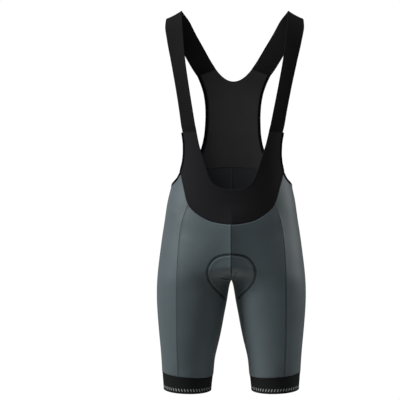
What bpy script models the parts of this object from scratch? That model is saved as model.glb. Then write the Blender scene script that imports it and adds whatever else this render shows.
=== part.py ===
"""Cycling bib shorts, filled out as when worn, with nobody in them.

Frame: metres, +Z up, the front faces -Y and the wearer's left is at +X. The origin is where the
garment hangs: midway between the crests of its two shoulder straps.

Everything but the straps is cut from one form, the outside of the cloth: a stack of level sections.
A point of the form is named by its turn, the angle round a section (0 at the front, 90 degrees at the
outer side, 180 at the back, -90 or 270 at the inner thigh), and its height. Sizes are in millimetres.
"""

import math
from typing import NamedTuple

import bmesh
import bpy
import numpy as np

MM = 0.001

# Cloth
LYCRA = 1.6
GRIPPER = 2.0
BINDING = 2.2
SEAM = 0.3  # the gap between two sewn pieces

# Heights, at a leg's front and back. Both lines rise to its outer side and drop to its inner side.
BAND_TOP = -840.0
BAND_RISE = 4.9
HEM = -878.5
HEM_RISE = 1.8

# Edges
BINDING_WIDTH = 4.5
BAND_STEP = 0.6  # the gripper band lies this much inside the leg panels
NECK_BACK_DROP = 29.7  # from the inner end of a strap's back seam to the bottom of the back neckline
BACK_SEAM_RISE = 10.5  # from the corners of the bib back's lower seam to its middle
STRAP_CROWN = 1.2  # how far a strap's middle stands above the line between its edges
LEAN_FROM = -450.0
SHOULDER_LEAN = 8.3  # the straps' shift towards the wearer's left, growing from LEAN_FROM to the shoulder

# Relief of the front
KEEL = 12.5  # how far the centre seam stands out, before KEEL_REST comes off
KEEL_REACH = 50.0  # the distance from the middle over which the keel falls to a third
KEEL_REST = 1.3
FILLED_FROM = -611.0  # from here up, over FILLED_OVER, the front comes to run level between the legs
FILLED_OVER = 27.0
SEAM_RIDGE = 4.2  # how far the side seam holds the cloth out to the front
SEAM_RIDGE_REACH = 26.0
SEAM_RIDGE_HIPS = 0.7  # the share of it over the hips

# Seat pad
PAD_CLEAR = 3.6  # from the form to the pad's underside: the lycra's wall and a running gap
PAD_EDGE = 2.2
PAD_FOLD = 20.0  # the pad's thickness turns from upright to square with the cloth over this width

# The sections are averaged over this reach up and down, at even steps with these weights
SECTION_REACH = 20.0
SECTION_WEIGHTS = np.array([1, 4, 6, 4, 1]) / 16

# Mesh density: intervals along each stretch
ARM_ROWS = 6
APEX_COLUMNS = 3
FRONT_COLUMNS = 10
BOUND_COLUMNS = 9
STRAP_SEAM_COLUMNS = 4
NECK_COLUMNS = 4
BIB_FRONT_ACROSS = 5
BIB_BACK_ROWS = 14
UPPER_ROWS = 16
LOWER_ROWS = 7
BAND_COLUMNS = 32
BAND_ROWS = 2
STRAP_ROWS = 34
PAD_ROWS = 34
PAD_HALF_COLUMNS = 7
SEAM_HOLD = 4  # how closely a leg panel's columns must lie to the centre seam to follow its turn

GREY = (0.105, 0.128, 0.138)
BIB_BLACK = (0.012, 0.012, 0.013)
BAND_BLACK = (0.008, 0.008, 0.009)
PAD_GREEN = (0.010, 0.372, 0.130)


class Section(NamedTuple):
    """A level section: half_width from the middle of the body to the outer side, centre of the ring
    (0 where it goes round the whole body, the leg's own axis below), depths from the widest place to
    the front and the back, y of that widest place, and how square the ring is (2 is an ellipse)."""

    height: float
    half_width: float
    centre: float
    front: float
    back: float
    middle: float
    square: float


SECTIONS = (
    Section(-878, 159.0, 102.9, 64, 64, 2, 2.1),
    Section(-841, 162.1, 102.1, 68, 69, 2, 2.1),
    Section(-811, 163.8, 101.8, 73, 74, 2, 2.1),
    Section(-783, 165.9, 99.7, 77, 78, 2, 2.1),
    Section(-754, 168.7, 97.6, 81, 82, 2, 2.1),
    Section(-726, 171.2, 96.1, 84, 85, 2, 2.1),
    Section(-698, 173.3, 94.6, 87, 88, 2, 2.15),
    Section(-670, 174.8, 92.6, 90, 91, 2, 2.15),
    Section(-642, 175.0, 90.5, 93, 95, 3, 2.2),
    Section(-630, 174.7, 89.2, 95, 97, 4, 2.2),
    Section(-621, 174.1, 88.0, 97, 99, 4, 2.2),
    Section(-606, 172.9, 80.2, 99, 104, 4, 2.2),
    Section(-590, 171.3, 69.7, 101, 110, 4, 2.2),
    Section(-571, 168.9, 55.7, 103, 116, 4, 2.25),
    Section(-543, 165.3, 34.2, 105, 120, 4, 2.3),
    Section(-515, 161.5, 14.0, 106, 118, 4, 2.3),
    Section(-486, 156.8, 0.0, 107, 113, 4, 2.35),
    Section(-458, 152.9, 0.0, 107, 106, 4, 2.35),
    Section(-430, 148.5, 0.0, 105, 99, 4, 2.35),
    Section(-402, 141.2, 0.0, 104, 93, 4, 2.35),
    Section(-365, 137.0, 0.0, 103, 89, 4, 2.35),
    Section(-330, 136.4, 0.0, 104, 87, 4, 2.35),
    Section(-281, 139.0, 0.0, 107, 87, 4, 2.35),
    Section(-230, 147.0, 0.0, 109, 89, 4, 2.35),
    Section(-170, 155.0, 0.0, 107, 90, 4, 2.3),
    Section(-110, 160.0, 0.0, 100, 88, 4, 2.3),
)


class BibRow(NamedTuple):
    """A line across the bib front, from its inner edge to its outer edge."""

    inner_x: float
    inner_z: float
    outer_x: float
    outer_z: float


# From the strap's front seam down the arm, then along the hem to the middle.
BIB_ARM = (
    BibRow(82.0, -281, 113.4, -281),
    BibRow(76.0, -308, 110.4, -309),
    BibRow(70.5, -327, 110.0, -327),
    BibRow(65.5, -342, 111.9, -348),
    BibRow(58.5, -364, 115.0, -361),
)
BIB_APEX = BibRow(50.5, -385, 117.3, -373.5)
BIB_HEM = (
    BibRow(43.0, -396.5, 109.5, -407.5),
    BibRow(33.0, -404.0, 97.5, -446.0),
    BibRow(21.0, -408.5, 71.5, -471.0),
    BibRow(11.0, -411.0, 40.0, -485.0),
    BibRow(0.0, -411.5, 0.0, -490.0),
)
SEAM_ROW = 2  # the front side seam meets the hem at this row of the hem, counted from the apex


class EdgeRow(NamedTuple):
    """A point of an edge, by its height and its distance from the middle of the body."""

    height: float
    x: float


FRONT_SIDE_SEAM = (
    EdgeRow(-465, 105.5),
    EdgeRow(-486, 112.0),
    EdgeRow(-525, 118.0),
    EdgeRow(-565, 121.0),
    EdgeRow(-627, 123.0),
    EdgeRow(-742, 123.5),
    EdgeRow(-834, 120.5),
    EdgeRow(HEM, 118.0),
)

BIB_BACK_SIDE = (
    EdgeRow(-364.5, 94.8),
    EdgeRow(-330, 79.3),
    EdgeRow(-298, 69.0),
    EdgeRow(-268, 64.4),
    EdgeRow(-232, 63.0),
    EdgeRow(-210, 63.8),
    EdgeRow(-180, 67.8),
    EdgeRow(-152, 76.3),
    EdgeRow(-131, 85.5),
)
BACK_NECK_END = EdgeRow(-115, 44.0)


class BoundRow(NamedTuple):
    """A point of the side's bound edge, by its turn in degrees and its height."""

    turn: float
    height: float


# Between the bib front's apex and the bib back's lower corner, round the side of the waist.
SIDE_EDGE = (
    BoundRow(63, -388),
    BoundRow(72, -396),
    BoundRow(90, -403),
    BoundRow(110, -400),
    BoundRow(127, -385),
)


class StrapRow(NamedTuple):
    """A line across a strap, between its outer and its inner edge."""

    outer_x: float
    outer_y: float
    outer_z: float
    inner_x: float
    inner_y: float
    inner_z: float


# Between the two seams, from the chest over the shoulder to the shoulder blade.
STRAP = (
    StrapRow(123.4, -69, -226, 92.0, -91, -226),
    StrapRow(133.1, -66, -172, 101.8, -88, -171),
    StrapRow(144.2, -58, -118, 111.0, -77, -114),
    StrapRow(154.6, -47, -70, 117.0, -60, -62),
    StrapRow(160.9, -30, -32, 121.5, -38, -17),
    StrapRow(160.4, 0, -11, 124.0, -1, 8.3),
    StrapRow(147.0, 32, -33, 110.0, 34, -6),
    StrapRow(130.0, 52, -67, 92.5, 58, -36),
    StrapRow(112.0, 65, -99, 73.0, 75, -68),
    StrapRow(98.0, 73, -121.5, 57.5, 85, -94),
)
STRAP_FRONT_END = (114.0, 82.0)  # x of the outer and the inner edge at the front seam
STRAP_BACK_END = (89.8, 44.0)


class PadRow(NamedTuple):
    """A line across the pad: its place along the crotch seam, counted backwards from the crotch,
    its half width on the cloth, and the thickness at its middle."""

    place: float
    half_width: float
    thickness: float


PAD = (
    PadRow(-131, 14, 3),
    PadRow(-124, 31, 4),
    PadRow(-110, 46, 5),
    PadRow(-92, 57, 6),
    PadRow(-65, 60, 7),
    PadRow(-35, 55, 8),
    PadRow(0, 50, 8),
    PadRow(30, 52, 9),
    PadRow(60, 66, 10),
    PadRow(90, 86, 11),
    PadRow(123, 98, 11),
    PadRow(155, 96, 10),
    PadRow(180, 78, 8),
    PadRow(196, 50, 5),
    PadRow(204, 18, 3),
)


def smooth(at, places, values):
    """A curve through (places, values) with no overshoot: cubic pieces with harmonic-mean slopes."""
    places, values = np.asarray(places, float), np.asarray(values, float)
    rise = np.diff(values) / np.diff(places)
    slope = np.concatenate([rise[:1], np.zeros(len(places) - 2), rise[-1:]])
    same = rise[:-1] * rise[1:] > 0
    total = np.where(same, rise[:-1] + rise[1:], 1.0)
    slope[1:-1] = np.where(same, 2 * rise[:-1] * rise[1:] / total, 0.0)
    at = np.clip(at, places[0], places[-1])
    left = np.clip(np.searchsorted(places, at, side="right") - 1, 0, len(places) - 2)
    step = places[left + 1] - places[left]
    t = (at - places[left]) / step
    return (
        (2 * t**3 - 3 * t**2 + 1) * values[left]
        + (t**3 - 2 * t**2 + t) * step * slope[left]
        + (3 * t**2 - 2 * t**3) * values[left + 1]
        + (t**3 - t**2) * step * slope[left + 1]
    )


def soft_step(value):
    """A smooth rise from 0 to 1."""
    t = np.clip(value, 0, 1)
    return t * t * (3 - 2 * t)


def sections_at(height):
    """The section at each height, as a Section of arrays, averaged so that the cloth has no ridge at
    a row of the table."""
    heights = [row.height for row in SECTIONS]
    near = height[..., None] + SECTION_REACH * np.linspace(-1, 1, len(SECTION_WEIGHTS))
    columns = [smooth(near, heights, [getattr(r, n) for r in SECTIONS]) for n in Section._fields[1:]]
    return Section(height, *(column @ SECTION_WEIGHTS for column in columns))


def power(value, exponent):
    """A power that keeps the sign."""
    return np.sign(value) * np.abs(value) ** exponent


def keel(x, y, height):
    """How far the front stands out: most on the centre seam, from the bib's hem to the crotch."""
    fade = soft_step((-440 - height) / 60) * soft_step((height + 618) / 26) * soft_step((-y - 15) / 50)
    return (KEEL * np.exp(-np.abs(x) / KEEL_REACH) - KEEL_REST) * fade


def form(turn, height):
    """Points of the form at these turns (radians) and heights."""
    turn, height = np.broadcast_arrays(np.asarray(turn, float), np.asarray(height, float))
    row = sections_at(height)
    across = power(np.sin(turn), 2 / row.square)
    along = power(np.cos(turn), 2 / row.square)
    depth = np.where(along > 0, row.front, row.back)
    x = row.centre + (row.half_width - row.centre) * across
    between = (np.sin(turn) < 0) & (along > 0)
    filled = along + (1 - along) * soft_step((height - FILLED_FROM) / FILLED_OVER)
    y = row.middle - depth * np.where(between, filled, along)
    return np.stack([x, y - keel(x, y, height), height], axis=-1)


def directions(turn, height):
    """How a point of the form moves with its turn and with its height."""
    angle, rise = 1e-3, 0.05
    by_turn = (form(turn + angle, height) - form(turn - angle, height)) / (2 * angle)
    by_height = (form(turn, height + rise) - form(turn, height - rise)) / (2 * rise)
    return by_turn, by_height


def unit(vectors):
    return vectors / np.linalg.norm(vectors, axis=-1, keepdims=True)


def outward(turn, height):
    """The form's outward direction."""
    return unit(np.cross(*directions(turn, height)))


def turn_at(x, height):
    """The turn on the front half at which a section is x from the middle of the body."""
    height = np.asarray(height, float)
    row = sections_at(height)
    share = np.clip((x - row.centre) / (row.half_width - row.centre), -1, 1)
    return np.arcsin(power(share, row.square / 2))


def first_turn(height, x=SEAM / 2):
    """Where a half begins: on the centre front seam, or at the inseam below the crotch."""
    inseam = -math.pi / 2 + 0.001
    return np.maximum(turn_at(x, height), inseam)


def last_turn(height):
    """Where a half ends: on the centre back seam, or at the inseam below the crotch."""
    return math.pi - first_turn(height)


def crotch_height():
    """The height at which the legs part, where a section's inner side leaves the middle plane."""
    low, high = SECTIONS[0].height, SECTIONS[-1].height
    while high - low > 0.001:
        height = (low + high) / 2
        row = sections_at(np.array(height))
        parted = 2 * row.centre - row.half_width > SEAM / 2
        low, high = (height, high) if parted else (low, height)
    return low


CROTCH = crotch_height()


def bib_line(place):
    """The bib front's inner and outer edge, as (x, z) pairs, at a place counted in rows from one
    strap seam, through the middle of the hem, to the other."""
    half = (*BIB_ARM, BIB_APEX, *BIB_HEM)
    mirrored = [BibRow(-r.inner_x, r.inner_z, -r.outer_x, r.outer_z) for r in half[-2::-1]]
    rows = (*half, *mirrored)
    places = np.arange(len(rows))
    columns = [smooth(place, places, [getattr(r, n) for r in rows]) for n in BibRow._fields]
    return np.stack(columns[:2], axis=-1), np.stack(columns[2:], axis=-1)


APEX_PLACE = len(BIB_ARM)
SEAM_PLACE = APEX_PLACE + SEAM_ROW
MIDDLE_PLACE = APEX_PLACE + len(BIB_HEM)


def hem_stations():
    """(turn, height) of the points where panels and bib meet along the hem, from the middle of the
    front to the apex. The first FRONT_COLUMNS intervals belong to the front panel."""
    places = np.concatenate(
        [
            np.linspace(MIDDLE_PLACE, SEAM_PLACE, FRONT_COLUMNS + 1),
            np.linspace(SEAM_PLACE, APEX_PLACE, APEX_COLUMNS + 1)[1:],
        ]
    )
    _, outer = bib_line(places)
    return places, turn_at(outer[:, 0], outer[:, 1]), outer[:, 1]


def side_seam_turn(height):
    """The turn of the front side seam."""
    _, top = bib_line(np.array([SEAM_PLACE]))
    rows = (*reversed(FRONT_SIDE_SEAM), EdgeRow(top[0, 1], top[0, 0]))
    x = smooth(height, [r.height for r in rows], [r.x for r in rows])
    return turn_at(x, height)


def bib_back_side(height):
    """How far the bib back's side edge is from the middle of the body."""
    return smooth(height, [r.height for r in BIB_BACK_SIDE], [r.x for r in BIB_BACK_SIDE])


def back_corner():
    """(turn, height) of the bib back's lower corner."""
    corner = BIB_BACK_SIDE[0]
    return math.pi - float(turn_at(corner.x, corner.height)), corner.height


def side_edge_stations():
    """(turn, height) along the side's bound edge, from the apex to the bib back's lower corner."""
    corner_turn, corner_height = back_corner()
    apex_turn = float(turn_at(BIB_APEX.outer_x, BIB_APEX.outer_z))
    turns = [apex_turn, *(math.radians(r.turn) for r in SIDE_EDGE), corner_turn]
    heights = [BIB_APEX.outer_z, *(r.height for r in SIDE_EDGE), corner_height]
    turn = np.linspace(apex_turn, corner_turn, BOUND_COLUMNS + 1)
    return turn, smooth(turn, turns, heights)


def back_seam_stations():
    """(turn, height) along the bib back's lower seam, from its corner to the centre back."""
    corner_turn, corner_height = back_corner()
    share = np.linspace(0, 1, STRAP_SEAM_COLUMNS + NECK_COLUMNS + 1)
    turn = corner_turn + (float(last_turn(corner_height)) - corner_turn) * share
    return turn, corner_height + BACK_SEAM_RISE * (1 - (1 - share) ** 2)


def leaned(points):
    """The points shifted with the shoulders' lean, and turned from millimetres into metres."""
    points = np.array(points, float)
    rise = np.maximum(points[..., 2] - LEAN_FROM, 0) / -LEAN_FROM
    points[..., 0] += SHOULDER_LEAN * rise
    return points * MM


def mirrored_x(points):
    return points * np.array([-1.0, 1.0, 1.0])


def material(name, colour, roughness):
    made = bpy.data.materials.new(name)
    made.use_nodes = True
    shader = made.node_tree.nodes["Principled BSDF"]
    shader.inputs["Base Color"].default_value = (*colour, 1)
    shader.inputs["Roughness"].default_value = roughness
    made.diffuse_color = (*colour, 1)
    return made


def cloth(name, outer, inner, finish, ring=False):
    """A cloth wall between two grids of points (rows, columns, 3). A ring closes on itself."""
    rows, columns = outer.shape[:2]
    mesh = bmesh.new()
    faces = []
    sheets = []
    for grid in (leaned(outer), leaned(inner)):
        sheets.append([[mesh.verts.new(point) for point in row] for row in grid])
    spans = range(columns if ring else columns - 1)
    for sheet in sheets:
        for r in range(rows - 1):
            for c in spans:
                d = (c + 1) % columns
                faces.append((sheet[r][c], sheet[r][d], sheet[r + 1][d], sheet[r + 1][c]))
    outside, inside = sheets
    for r in (0, rows - 1):
        for c in spans:
            d = (c + 1) % columns
            faces.append((outside[r][c], outside[r][d], inside[r][d], inside[r][c]))
    if not ring:
        for c in (0, columns - 1):
            for r in range(rows - 1):
                faces.append((outside[r][c], outside[r + 1][c], inside[r + 1][c], inside[r][c]))
    for corners in faces:
        mesh.faces.new(corners)
    bmesh.ops.recalc_face_normals(mesh, faces=mesh.faces)
    data = bpy.data.meshes.new(name)
    mesh.to_mesh(data)
    mesh.free()
    data.shade_smooth()
    data.set_sharp_from_angle(angle=math.radians(50))
    data.materials.append(finish)
    made = bpy.data.objects.new(name, data)
    bpy.context.scene.collection.objects.link(made)
    return made


def on_form(turn, height, wall, proud=0.0):
    """The outer and the inner grid of a wall whose outside stands proud of the form."""
    points, normals = form(turn, height), outward(turn, height)
    return points + normals * proud, points + normals * (proud - wall)


def both_sides(name, outer, inner, finish, ring=False):
    """The same cloth on the wearer's left, at +X, and mirrored on the right."""
    cloth(f"{name}_left", outer, inner, finish, ring)
    cloth(f"{name}_right", mirrored_x(outer), mirrored_x(inner), finish, ring)


def band_top(turn):
    """The height at which a leg panel ends and its band begins."""
    return BAND_TOP + BAND_RISE * np.sin(turn)


def panel_rows(top, bottom, seam_share):
    """Heights of a leg panel's rows, from its top edge to the band (one height a column). seam_share
    is 1 on the centre seam, which runs almost level near the crotch: there rows close up towards it."""
    up = 1 - np.linspace(0, 1, UPPER_ROWS + 1)[:, None]
    above = CROTCH + (top - CROTCH) * up ** (1 + seam_share)
    lower = np.linspace(0, 1, LOWER_ROWS + 1)[1:, None] ** 1.35
    return np.concatenate([above, CROTCH + (bottom - CROTCH) * lower])


def side_ridge(distance, height):
    """How far the side seam holds the cloth out at a distance from it. It fades out at both ends."""
    fade = soft_step((-450 - height) / 40) * soft_step((height - BAND_TOP - BAND_RISE) / 45)
    hips = SEAM_RIDGE_HIPS + (1 - SEAM_RIDGE_HIPS) * soft_step((-540 - height) / 60)
    return SEAM_RIDGE * np.exp(-distance / SEAM_RIDGE_REACH) * fade * hips


def panel(name, turn, top, side_seam, centre_seam, finish):
    """A leg panel with its columns at the given turns on its top edge. side_seam and centre_seam give
    the turns of its two seams at any height."""
    share = (turn - side_seam(top)) / (centre_seam(top) - side_seam(top))
    ends = side_seam(BAND_TOP), centre_seam(BAND_TOP)
    height = panel_rows(top, band_top(ends[0] + (ends[1] - ends[0]) * share), share)
    # The centre seam turns fast just above the crotch. Only the columns near it turn with it there,
    # and the others go evenly, so that the rows aren't sheared.
    above = np.clip((height - CROTCH) / (top - CROTCH), 0, 1)
    last, crotch_turn = centre_seam(height), centre_seam(CROTCH)
    even = crotch_turn + (centre_seam(top) - crotch_turn) * (1 - (1 - above) ** 2)
    first = side_seam(height)
    turn = first + (even - first) * share + (last - even) * share**SEAM_HOLD
    outer, inner = on_form(turn, height, LYCRA)
    inner[..., 0] = np.maximum(inner[..., 0], SEAM / 2)  # the wall ends square at the centre seam
    run = np.cumsum(np.linalg.norm(np.diff(outer, axis=1, prepend=outer[:, :1]), axis=-1), axis=1)
    distance = np.abs(run - run[:, np.argmin(share)][:, None])
    outward_y = np.array([0.0, -1.0, 0.0]) * side_ridge(distance, height)[..., None]
    both_sides(name, outer + outward_y, inner + outward_y, finish)


def make_leg_panels(finish):
    _, hem_turn, hem_height = hem_stations()
    side_turn, side_height = side_edge_stations()
    back_turn, back_height = back_seam_stations()
    hem_turn[0] = first_turn(hem_height[0])

    front = slice(None, FRONT_COLUMNS + 1)
    panel("front_panel", hem_turn[front], hem_height[front], side_seam_turn, first_turn, finish)

    def behind_seam(height):
        turn = side_seam_turn(height)
        by_turn, _ = directions(turn, height)
        return turn + SEAM / np.linalg.norm(by_turn, axis=-1)

    turn = np.concatenate([hem_turn[FRONT_COLUMNS:], side_turn[1:], back_turn[1:]])
    top = np.concatenate([hem_height[FRONT_COLUMNS:], side_height[1:], back_height[1:]])
    turn[0] = behind_seam(top[:1])[0]
    panel("back_panel", turn, top, behind_seam, last_turn, finish)


def make_leg_bands(finish):
    turn = np.linspace(0, 2 * math.pi, BAND_COLUMNS, endpoint=False)[None, :]
    top, bottom = band_top(turn) - SEAM, HEM + HEM_RISE * np.sin(turn)
    height = top + (bottom - top) * np.linspace(0, 1, BAND_ROWS + 1)[:, None]
    outer, inner = on_form(*np.broadcast_arrays(turn, height), GRIPPER, -BAND_STEP)
    both_sides("leg_band", outer, inner, finish, ring=True)


def make_bib_front(finish):
    arm = np.linspace(0, APEX_PLACE, ARM_ROWS + 1)
    hem = hem_stations()[0][::-1]
    half = np.concatenate([arm[:-1], hem])
    place = np.concatenate([half, 2 * MIDDLE_PLACE - half[-2::-1]])
    inner_edge, outer_edge = bib_line(place)
    towards = unit(inner_edge - outer_edge)
    on_hem = (place >= APEX_PLACE) & (place <= 2 * MIDDLE_PLACE - APEX_PLACE)
    outer_edge = outer_edge + towards * np.where(on_hem, SEAM, 0)[:, None]
    share = np.linspace(0, 1, BIB_FRONT_ACROSS + 1)[:, None, None]
    flat = inner_edge + (outer_edge - inner_edge) * share
    x, height = flat[..., 0], flat[..., 1]
    outer, inner = on_form(turn_at(np.abs(x), height), height, LYCRA)
    # The right half is the left one mirrored
    outer[..., 0] *= np.where(x < 0, -1.0, 1.0)
    inner[..., 0] *= np.where(x < 0, -1.0, 1.0)
    cloth("bib_front", outer, inner, finish)


def bib_back_top():
    """(x, z) along half of the bib back's top edge: its strap seam from the outer end, then its neck
    down to the middle."""
    outer, inner = BIB_BACK_SIDE[-1], BACK_NECK_END
    share = np.linspace(0, 1, STRAP_SEAM_COLUMNS + 1)
    seam_x = outer.x + (inner.x - outer.x) * share
    seam_z = outer.height + (inner.height - outer.height) * share
    neck_x = inner.x * (1 - np.linspace(0, 1, NECK_COLUMNS + 1)[1:])
    neck_z = inner.height - NECK_BACK_DROP * (1 - (neck_x / inner.x) ** 2)
    return np.concatenate([seam_x, neck_x]), np.concatenate([seam_z, neck_z])


def bib_back_grid():
    """(turn, height) of half of the bib back, a row for each level and a column for each station
    from its side edge to the middle."""
    top_x, top_z = bib_back_top()
    seam_turn, bottom_z = back_seam_stations()
    bottom_z = bottom_z + SEAM
    bottom_x = form(seam_turn, bottom_z)[:, 0]
    bottom_x[-1] = 0.0
    down = np.linspace(0, 1, BIB_BACK_ROWS + 1)[:, None]
    height = top_z + (bottom_z - top_z) * down
    side_x = bib_back_side(height[:, :1])
    share = top_x / top_x[0] * (1 - down) + bottom_x / bottom_x[0] * down
    return math.pi - turn_at(side_x * share, height), height


def make_bib_back(finish):
    turn, height = bib_back_grid()
    outer, inner = on_form(turn, height, LYCRA)
    whole = [np.concatenate([g, mirrored_x(g)[:, -2::-1]], axis=1) for g in (outer, inner)]
    cloth("bib_back", *whole, finish)


def binding_path():
    """(turn, height) along the edge that the binding is sewn to, from a strap's front seam down the
    bib front, round the side and up the bib back."""
    _, arm = bib_line(np.linspace(0, APEX_PLACE, ARM_ROWS + 1))
    side_turn, side_height = side_edge_stations()
    back_turn, back_height = bib_back_grid()
    turn = np.concatenate([turn_at(arm[:, 0], arm[:, 1]), side_turn[1:], back_turn[-2::-1, 0]])
    height = np.concatenate([arm[:, 1], side_height[1:], back_height[-2::-1, 0]])
    return turn, height


def make_side_bindings(finish):
    turn, height = binding_path()
    by_turn, _ = directions(turn, height)
    reach = np.linalg.norm(by_turn, axis=-1)
    run = np.gradient(turn) * reach
    rise = np.gradient(height)
    length = np.hypot(run, rise)
    # To the left of the path, which is the side of the arm's opening.
    aside, up = -rise / length, run / length
    out = np.array([[SEAM], [SEAM + BINDING_WIDTH]])
    outer, inner = on_form(turn + aside * out / reach, height + up * out, BINDING, SEAM)
    both_sides("side_binding", outer, inner, finish)


def strap_end(ends, height, back):
    """The line across a strap where it meets the bib, from its outer to its inner edge."""
    share = np.linspace(0, 1, STRAP_SEAM_COLUMNS + 1)
    x = ends[0] + (ends[1] - ends[0]) * share
    z = height[0] + (height[1] - height[0]) * share
    turn = turn_at(x, z)
    return form(math.pi - turn if back else turn, z)


def strap_stations():
    """The lines across a strap, (station, place across, 3), from its front seam to its back seam."""
    share = np.linspace(0, 1, STRAP_SEAM_COLUMNS + 1)[:, None]
    first = strap_end(STRAP_FRONT_END, (BIB_ARM[0].outer_z + SEAM,) * 2, back=False)
    # The back seam runs on in line over the end of the binding.
    corner, neck = BIB_BACK_SIDE[-1], BACK_NECK_END
    slope = (neck.height - corner.height) / (neck.x - corner.x)
    seam_z = (corner.height + slope * (STRAP_BACK_END[0] - corner.x) + SEAM, neck.height + SEAM)
    last = strap_end(STRAP_BACK_END, seam_z, back=True)
    middle = []
    for row in STRAP:
        outer, inner = np.array(row[:3]), np.array(row[3:])
        middle.append(outer + (inner - outer) * share)
    lines = np.array([first, *middle, last])
    along = np.gradient(lines.mean(axis=1), axis=0)[:, None]
    crown = unit(np.cross(along, lines[:, -1:] - lines[:, :1]))
    crown[[0, -1]] = 0
    return lines - crown * STRAP_CROWN * (4 * share * (1 - share))[None]


def make_straps(finish):
    lines = strap_stations()
    steps = np.linalg.norm(np.diff(lines.mean(axis=1), axis=0), axis=-1)
    places = np.concatenate([[0], np.cumsum(steps)])
    at = np.linspace(0, places[-1], STRAP_ROWS + 1)
    flat = lines.reshape(len(lines), -1)
    grid = np.stack([smooth(at, places, column) for column in flat.T], axis=-1)
    grid = grid.reshape(len(at), -1, 3)
    normals = unit(np.cross(np.gradient(grid, axis=1), np.gradient(grid, axis=0)))
    both_sides("strap", grid, grid - normals * LYCRA, finish)


def crotch_seam():
    """(turn, height, length) along the seam in the middle plane from the front, under the crotch, to
    the back. The length is 0 at the crotch and grows backwards."""
    rise = 170 * np.linspace(1, 0, 400) ** 2
    height = CROTCH + rise
    front = first_turn(height, x=0.0)
    turn = np.concatenate([front, (math.pi - front)[-2::-1]])
    # Behind the crotch the inner thigh's turn is 270 degrees, the same place as -90.
    height = np.concatenate([height, height[-2::-1]])
    points = form(turn, height)
    length = np.concatenate([[0], np.cumsum(np.linalg.norm(np.diff(points, axis=0), axis=-1))])
    return turn, height, length - length[len(rise) - 1]


def walk(turn, height, heading, distance, steps=12):
    """Walks over the form, straight on, from each start. It gives the places passed, (steps + 1, n)."""
    turns, heights = [turn], [height]
    for _ in range(steps):
        by_turn, by_height = directions(turn, height)
        normal = unit(np.cross(by_turn, by_height))
        heading = unit(heading - normal * (heading * normal).sum(-1, keepdims=True))
        pace = heading * (distance / steps)[:, None]
        basis = np.stack([by_turn, by_height], axis=-1)
        moved = np.linalg.pinv(basis) @ pace[..., None]
        turn, height = turn + moved[:, 0, 0], height + moved[:, 1, 0]
        turns.append(turn)
        heights.append(height)
    return np.array(turns), np.array(heights)


def make_seat_pad(finish):
    turns, heights, lengths = crotch_seam()
    place = np.linspace(PAD[0].place, PAD[-1].place, PAD_ROWS + 1)
    turn, height = np.interp(place, lengths, turns), np.interp(place, lengths, heights)
    places = [r.place for r in PAD]
    half_width = smooth(place, places, [r.half_width for r in PAD])
    thickness = smooth(place, places, [r.thickness for r in PAD])

    seam = form(turn, height)
    along = unit(np.gradient(seam, axis=0))
    heading = np.cross(along, -outward(turn, height))
    heading = heading * np.sign(heading[:, :1])
    steps = 2 * PAD_HALF_COLUMNS
    walked = walk(turn, height, heading, half_width, steps)
    turn, height = (track[::2] for track in walked)

    points, inwards = form(turn, height), -outward(turn, height)
    points[0, :, 0] = 0.0
    upright = unit(inwards[0] * np.array([0.0, 1.0, 1.0]))
    share = np.linspace(0, 1, PAD_HALF_COLUMNS + 1)[:, None]
    fold = soft_step(share * half_width / PAD_FOLD)[..., None]
    direction = unit(upright * (1 - fold) + inwards * fold)
    square = (direction * inwards).sum(-1, keepdims=True)
    under = points + direction * PAD_CLEAR / square
    swell = PAD_EDGE + (thickness - PAD_EDGE) * (1 - share**2) ** 0.7
    over = under + direction * swell[..., None]
    whole = [np.concatenate([mirrored_x(g[::-1]), g[1:]]) for g in (under, over)]
    cloth("seat_pad", *whole, finish)


def main():
    for old in list(bpy.data.objects):
        bpy.data.objects.remove(old)
    lycra = material("lycra_grey", GREY, 0.5)
    bib = material("bib_black", BIB_BLACK, 0.7)
    band = material("band_black", BAND_BLACK, 0.6)
    binding = material("binding_black", BAND_BLACK, 0.6)
    pad = material("pad_green", PAD_GREEN, 0.6)
    make_leg_panels(lycra)
    make_leg_bands(band)
    make_bib_front(bib)
    make_bib_back(bib)
    make_straps(bib)
    make_side_bindings(binding)
    make_seat_pad(pad)


main()
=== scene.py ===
"""Cycling bib shorts, dressed: knitted cloth, sewing and the seat pad over the solids of the part.

The garment is filled out as when worn, with nobody in it. Frame: metres, +Z up, the front faces -Y,
the wearer's left is at +X, and the origin lies between the crests of the two shoulder straps. Sizes
in fields and tables are in millimetres, and turn to metres when a mesh is made.

Everything but the straps lies on one form. A place on it is a turn (0 at the front, 90 degrees at
the outer side, 180 at the back, -90 or 270 at the inner thigh) and a height. Shapes are worked out
for the wearer's left and mirrored for the right.
"""

import logging
from collections.abc import Callable
from dataclasses import dataclass
from enum import Enum
from functools import cached_property
from math import acos, atan2, cos, pi, radians, sin

import bpy
import numpy as np
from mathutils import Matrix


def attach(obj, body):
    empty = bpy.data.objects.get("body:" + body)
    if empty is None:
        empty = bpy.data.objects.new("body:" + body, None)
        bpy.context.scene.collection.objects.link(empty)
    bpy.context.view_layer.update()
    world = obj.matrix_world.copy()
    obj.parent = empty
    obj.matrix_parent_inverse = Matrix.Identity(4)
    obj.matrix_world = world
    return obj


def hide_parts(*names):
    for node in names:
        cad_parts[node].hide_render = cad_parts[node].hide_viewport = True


Array = np.ndarray
Pair = tuple[Array, Array]
Span = tuple[float, float]
Triple = tuple[float, float, float]
Places = tuple[Span, ...]
Seam = Callable[[Array], Array]  # from heights to a seam's turns
Material, Object = bpy.types.Material, bpy.types.Object
Socket, Tree = bpy.types.NodeSocket, bpy.types.NodeTree
MM = 0.001
# The solids stand 0.3 apart at a seam. Sewn cloth laps by a hair's breadth, so that no light gets
# through.
SEAM_GAP = -0.12
# Faces that meet at more than this angle from flat have a sharp edge
SHARP = radians(50)

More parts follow.
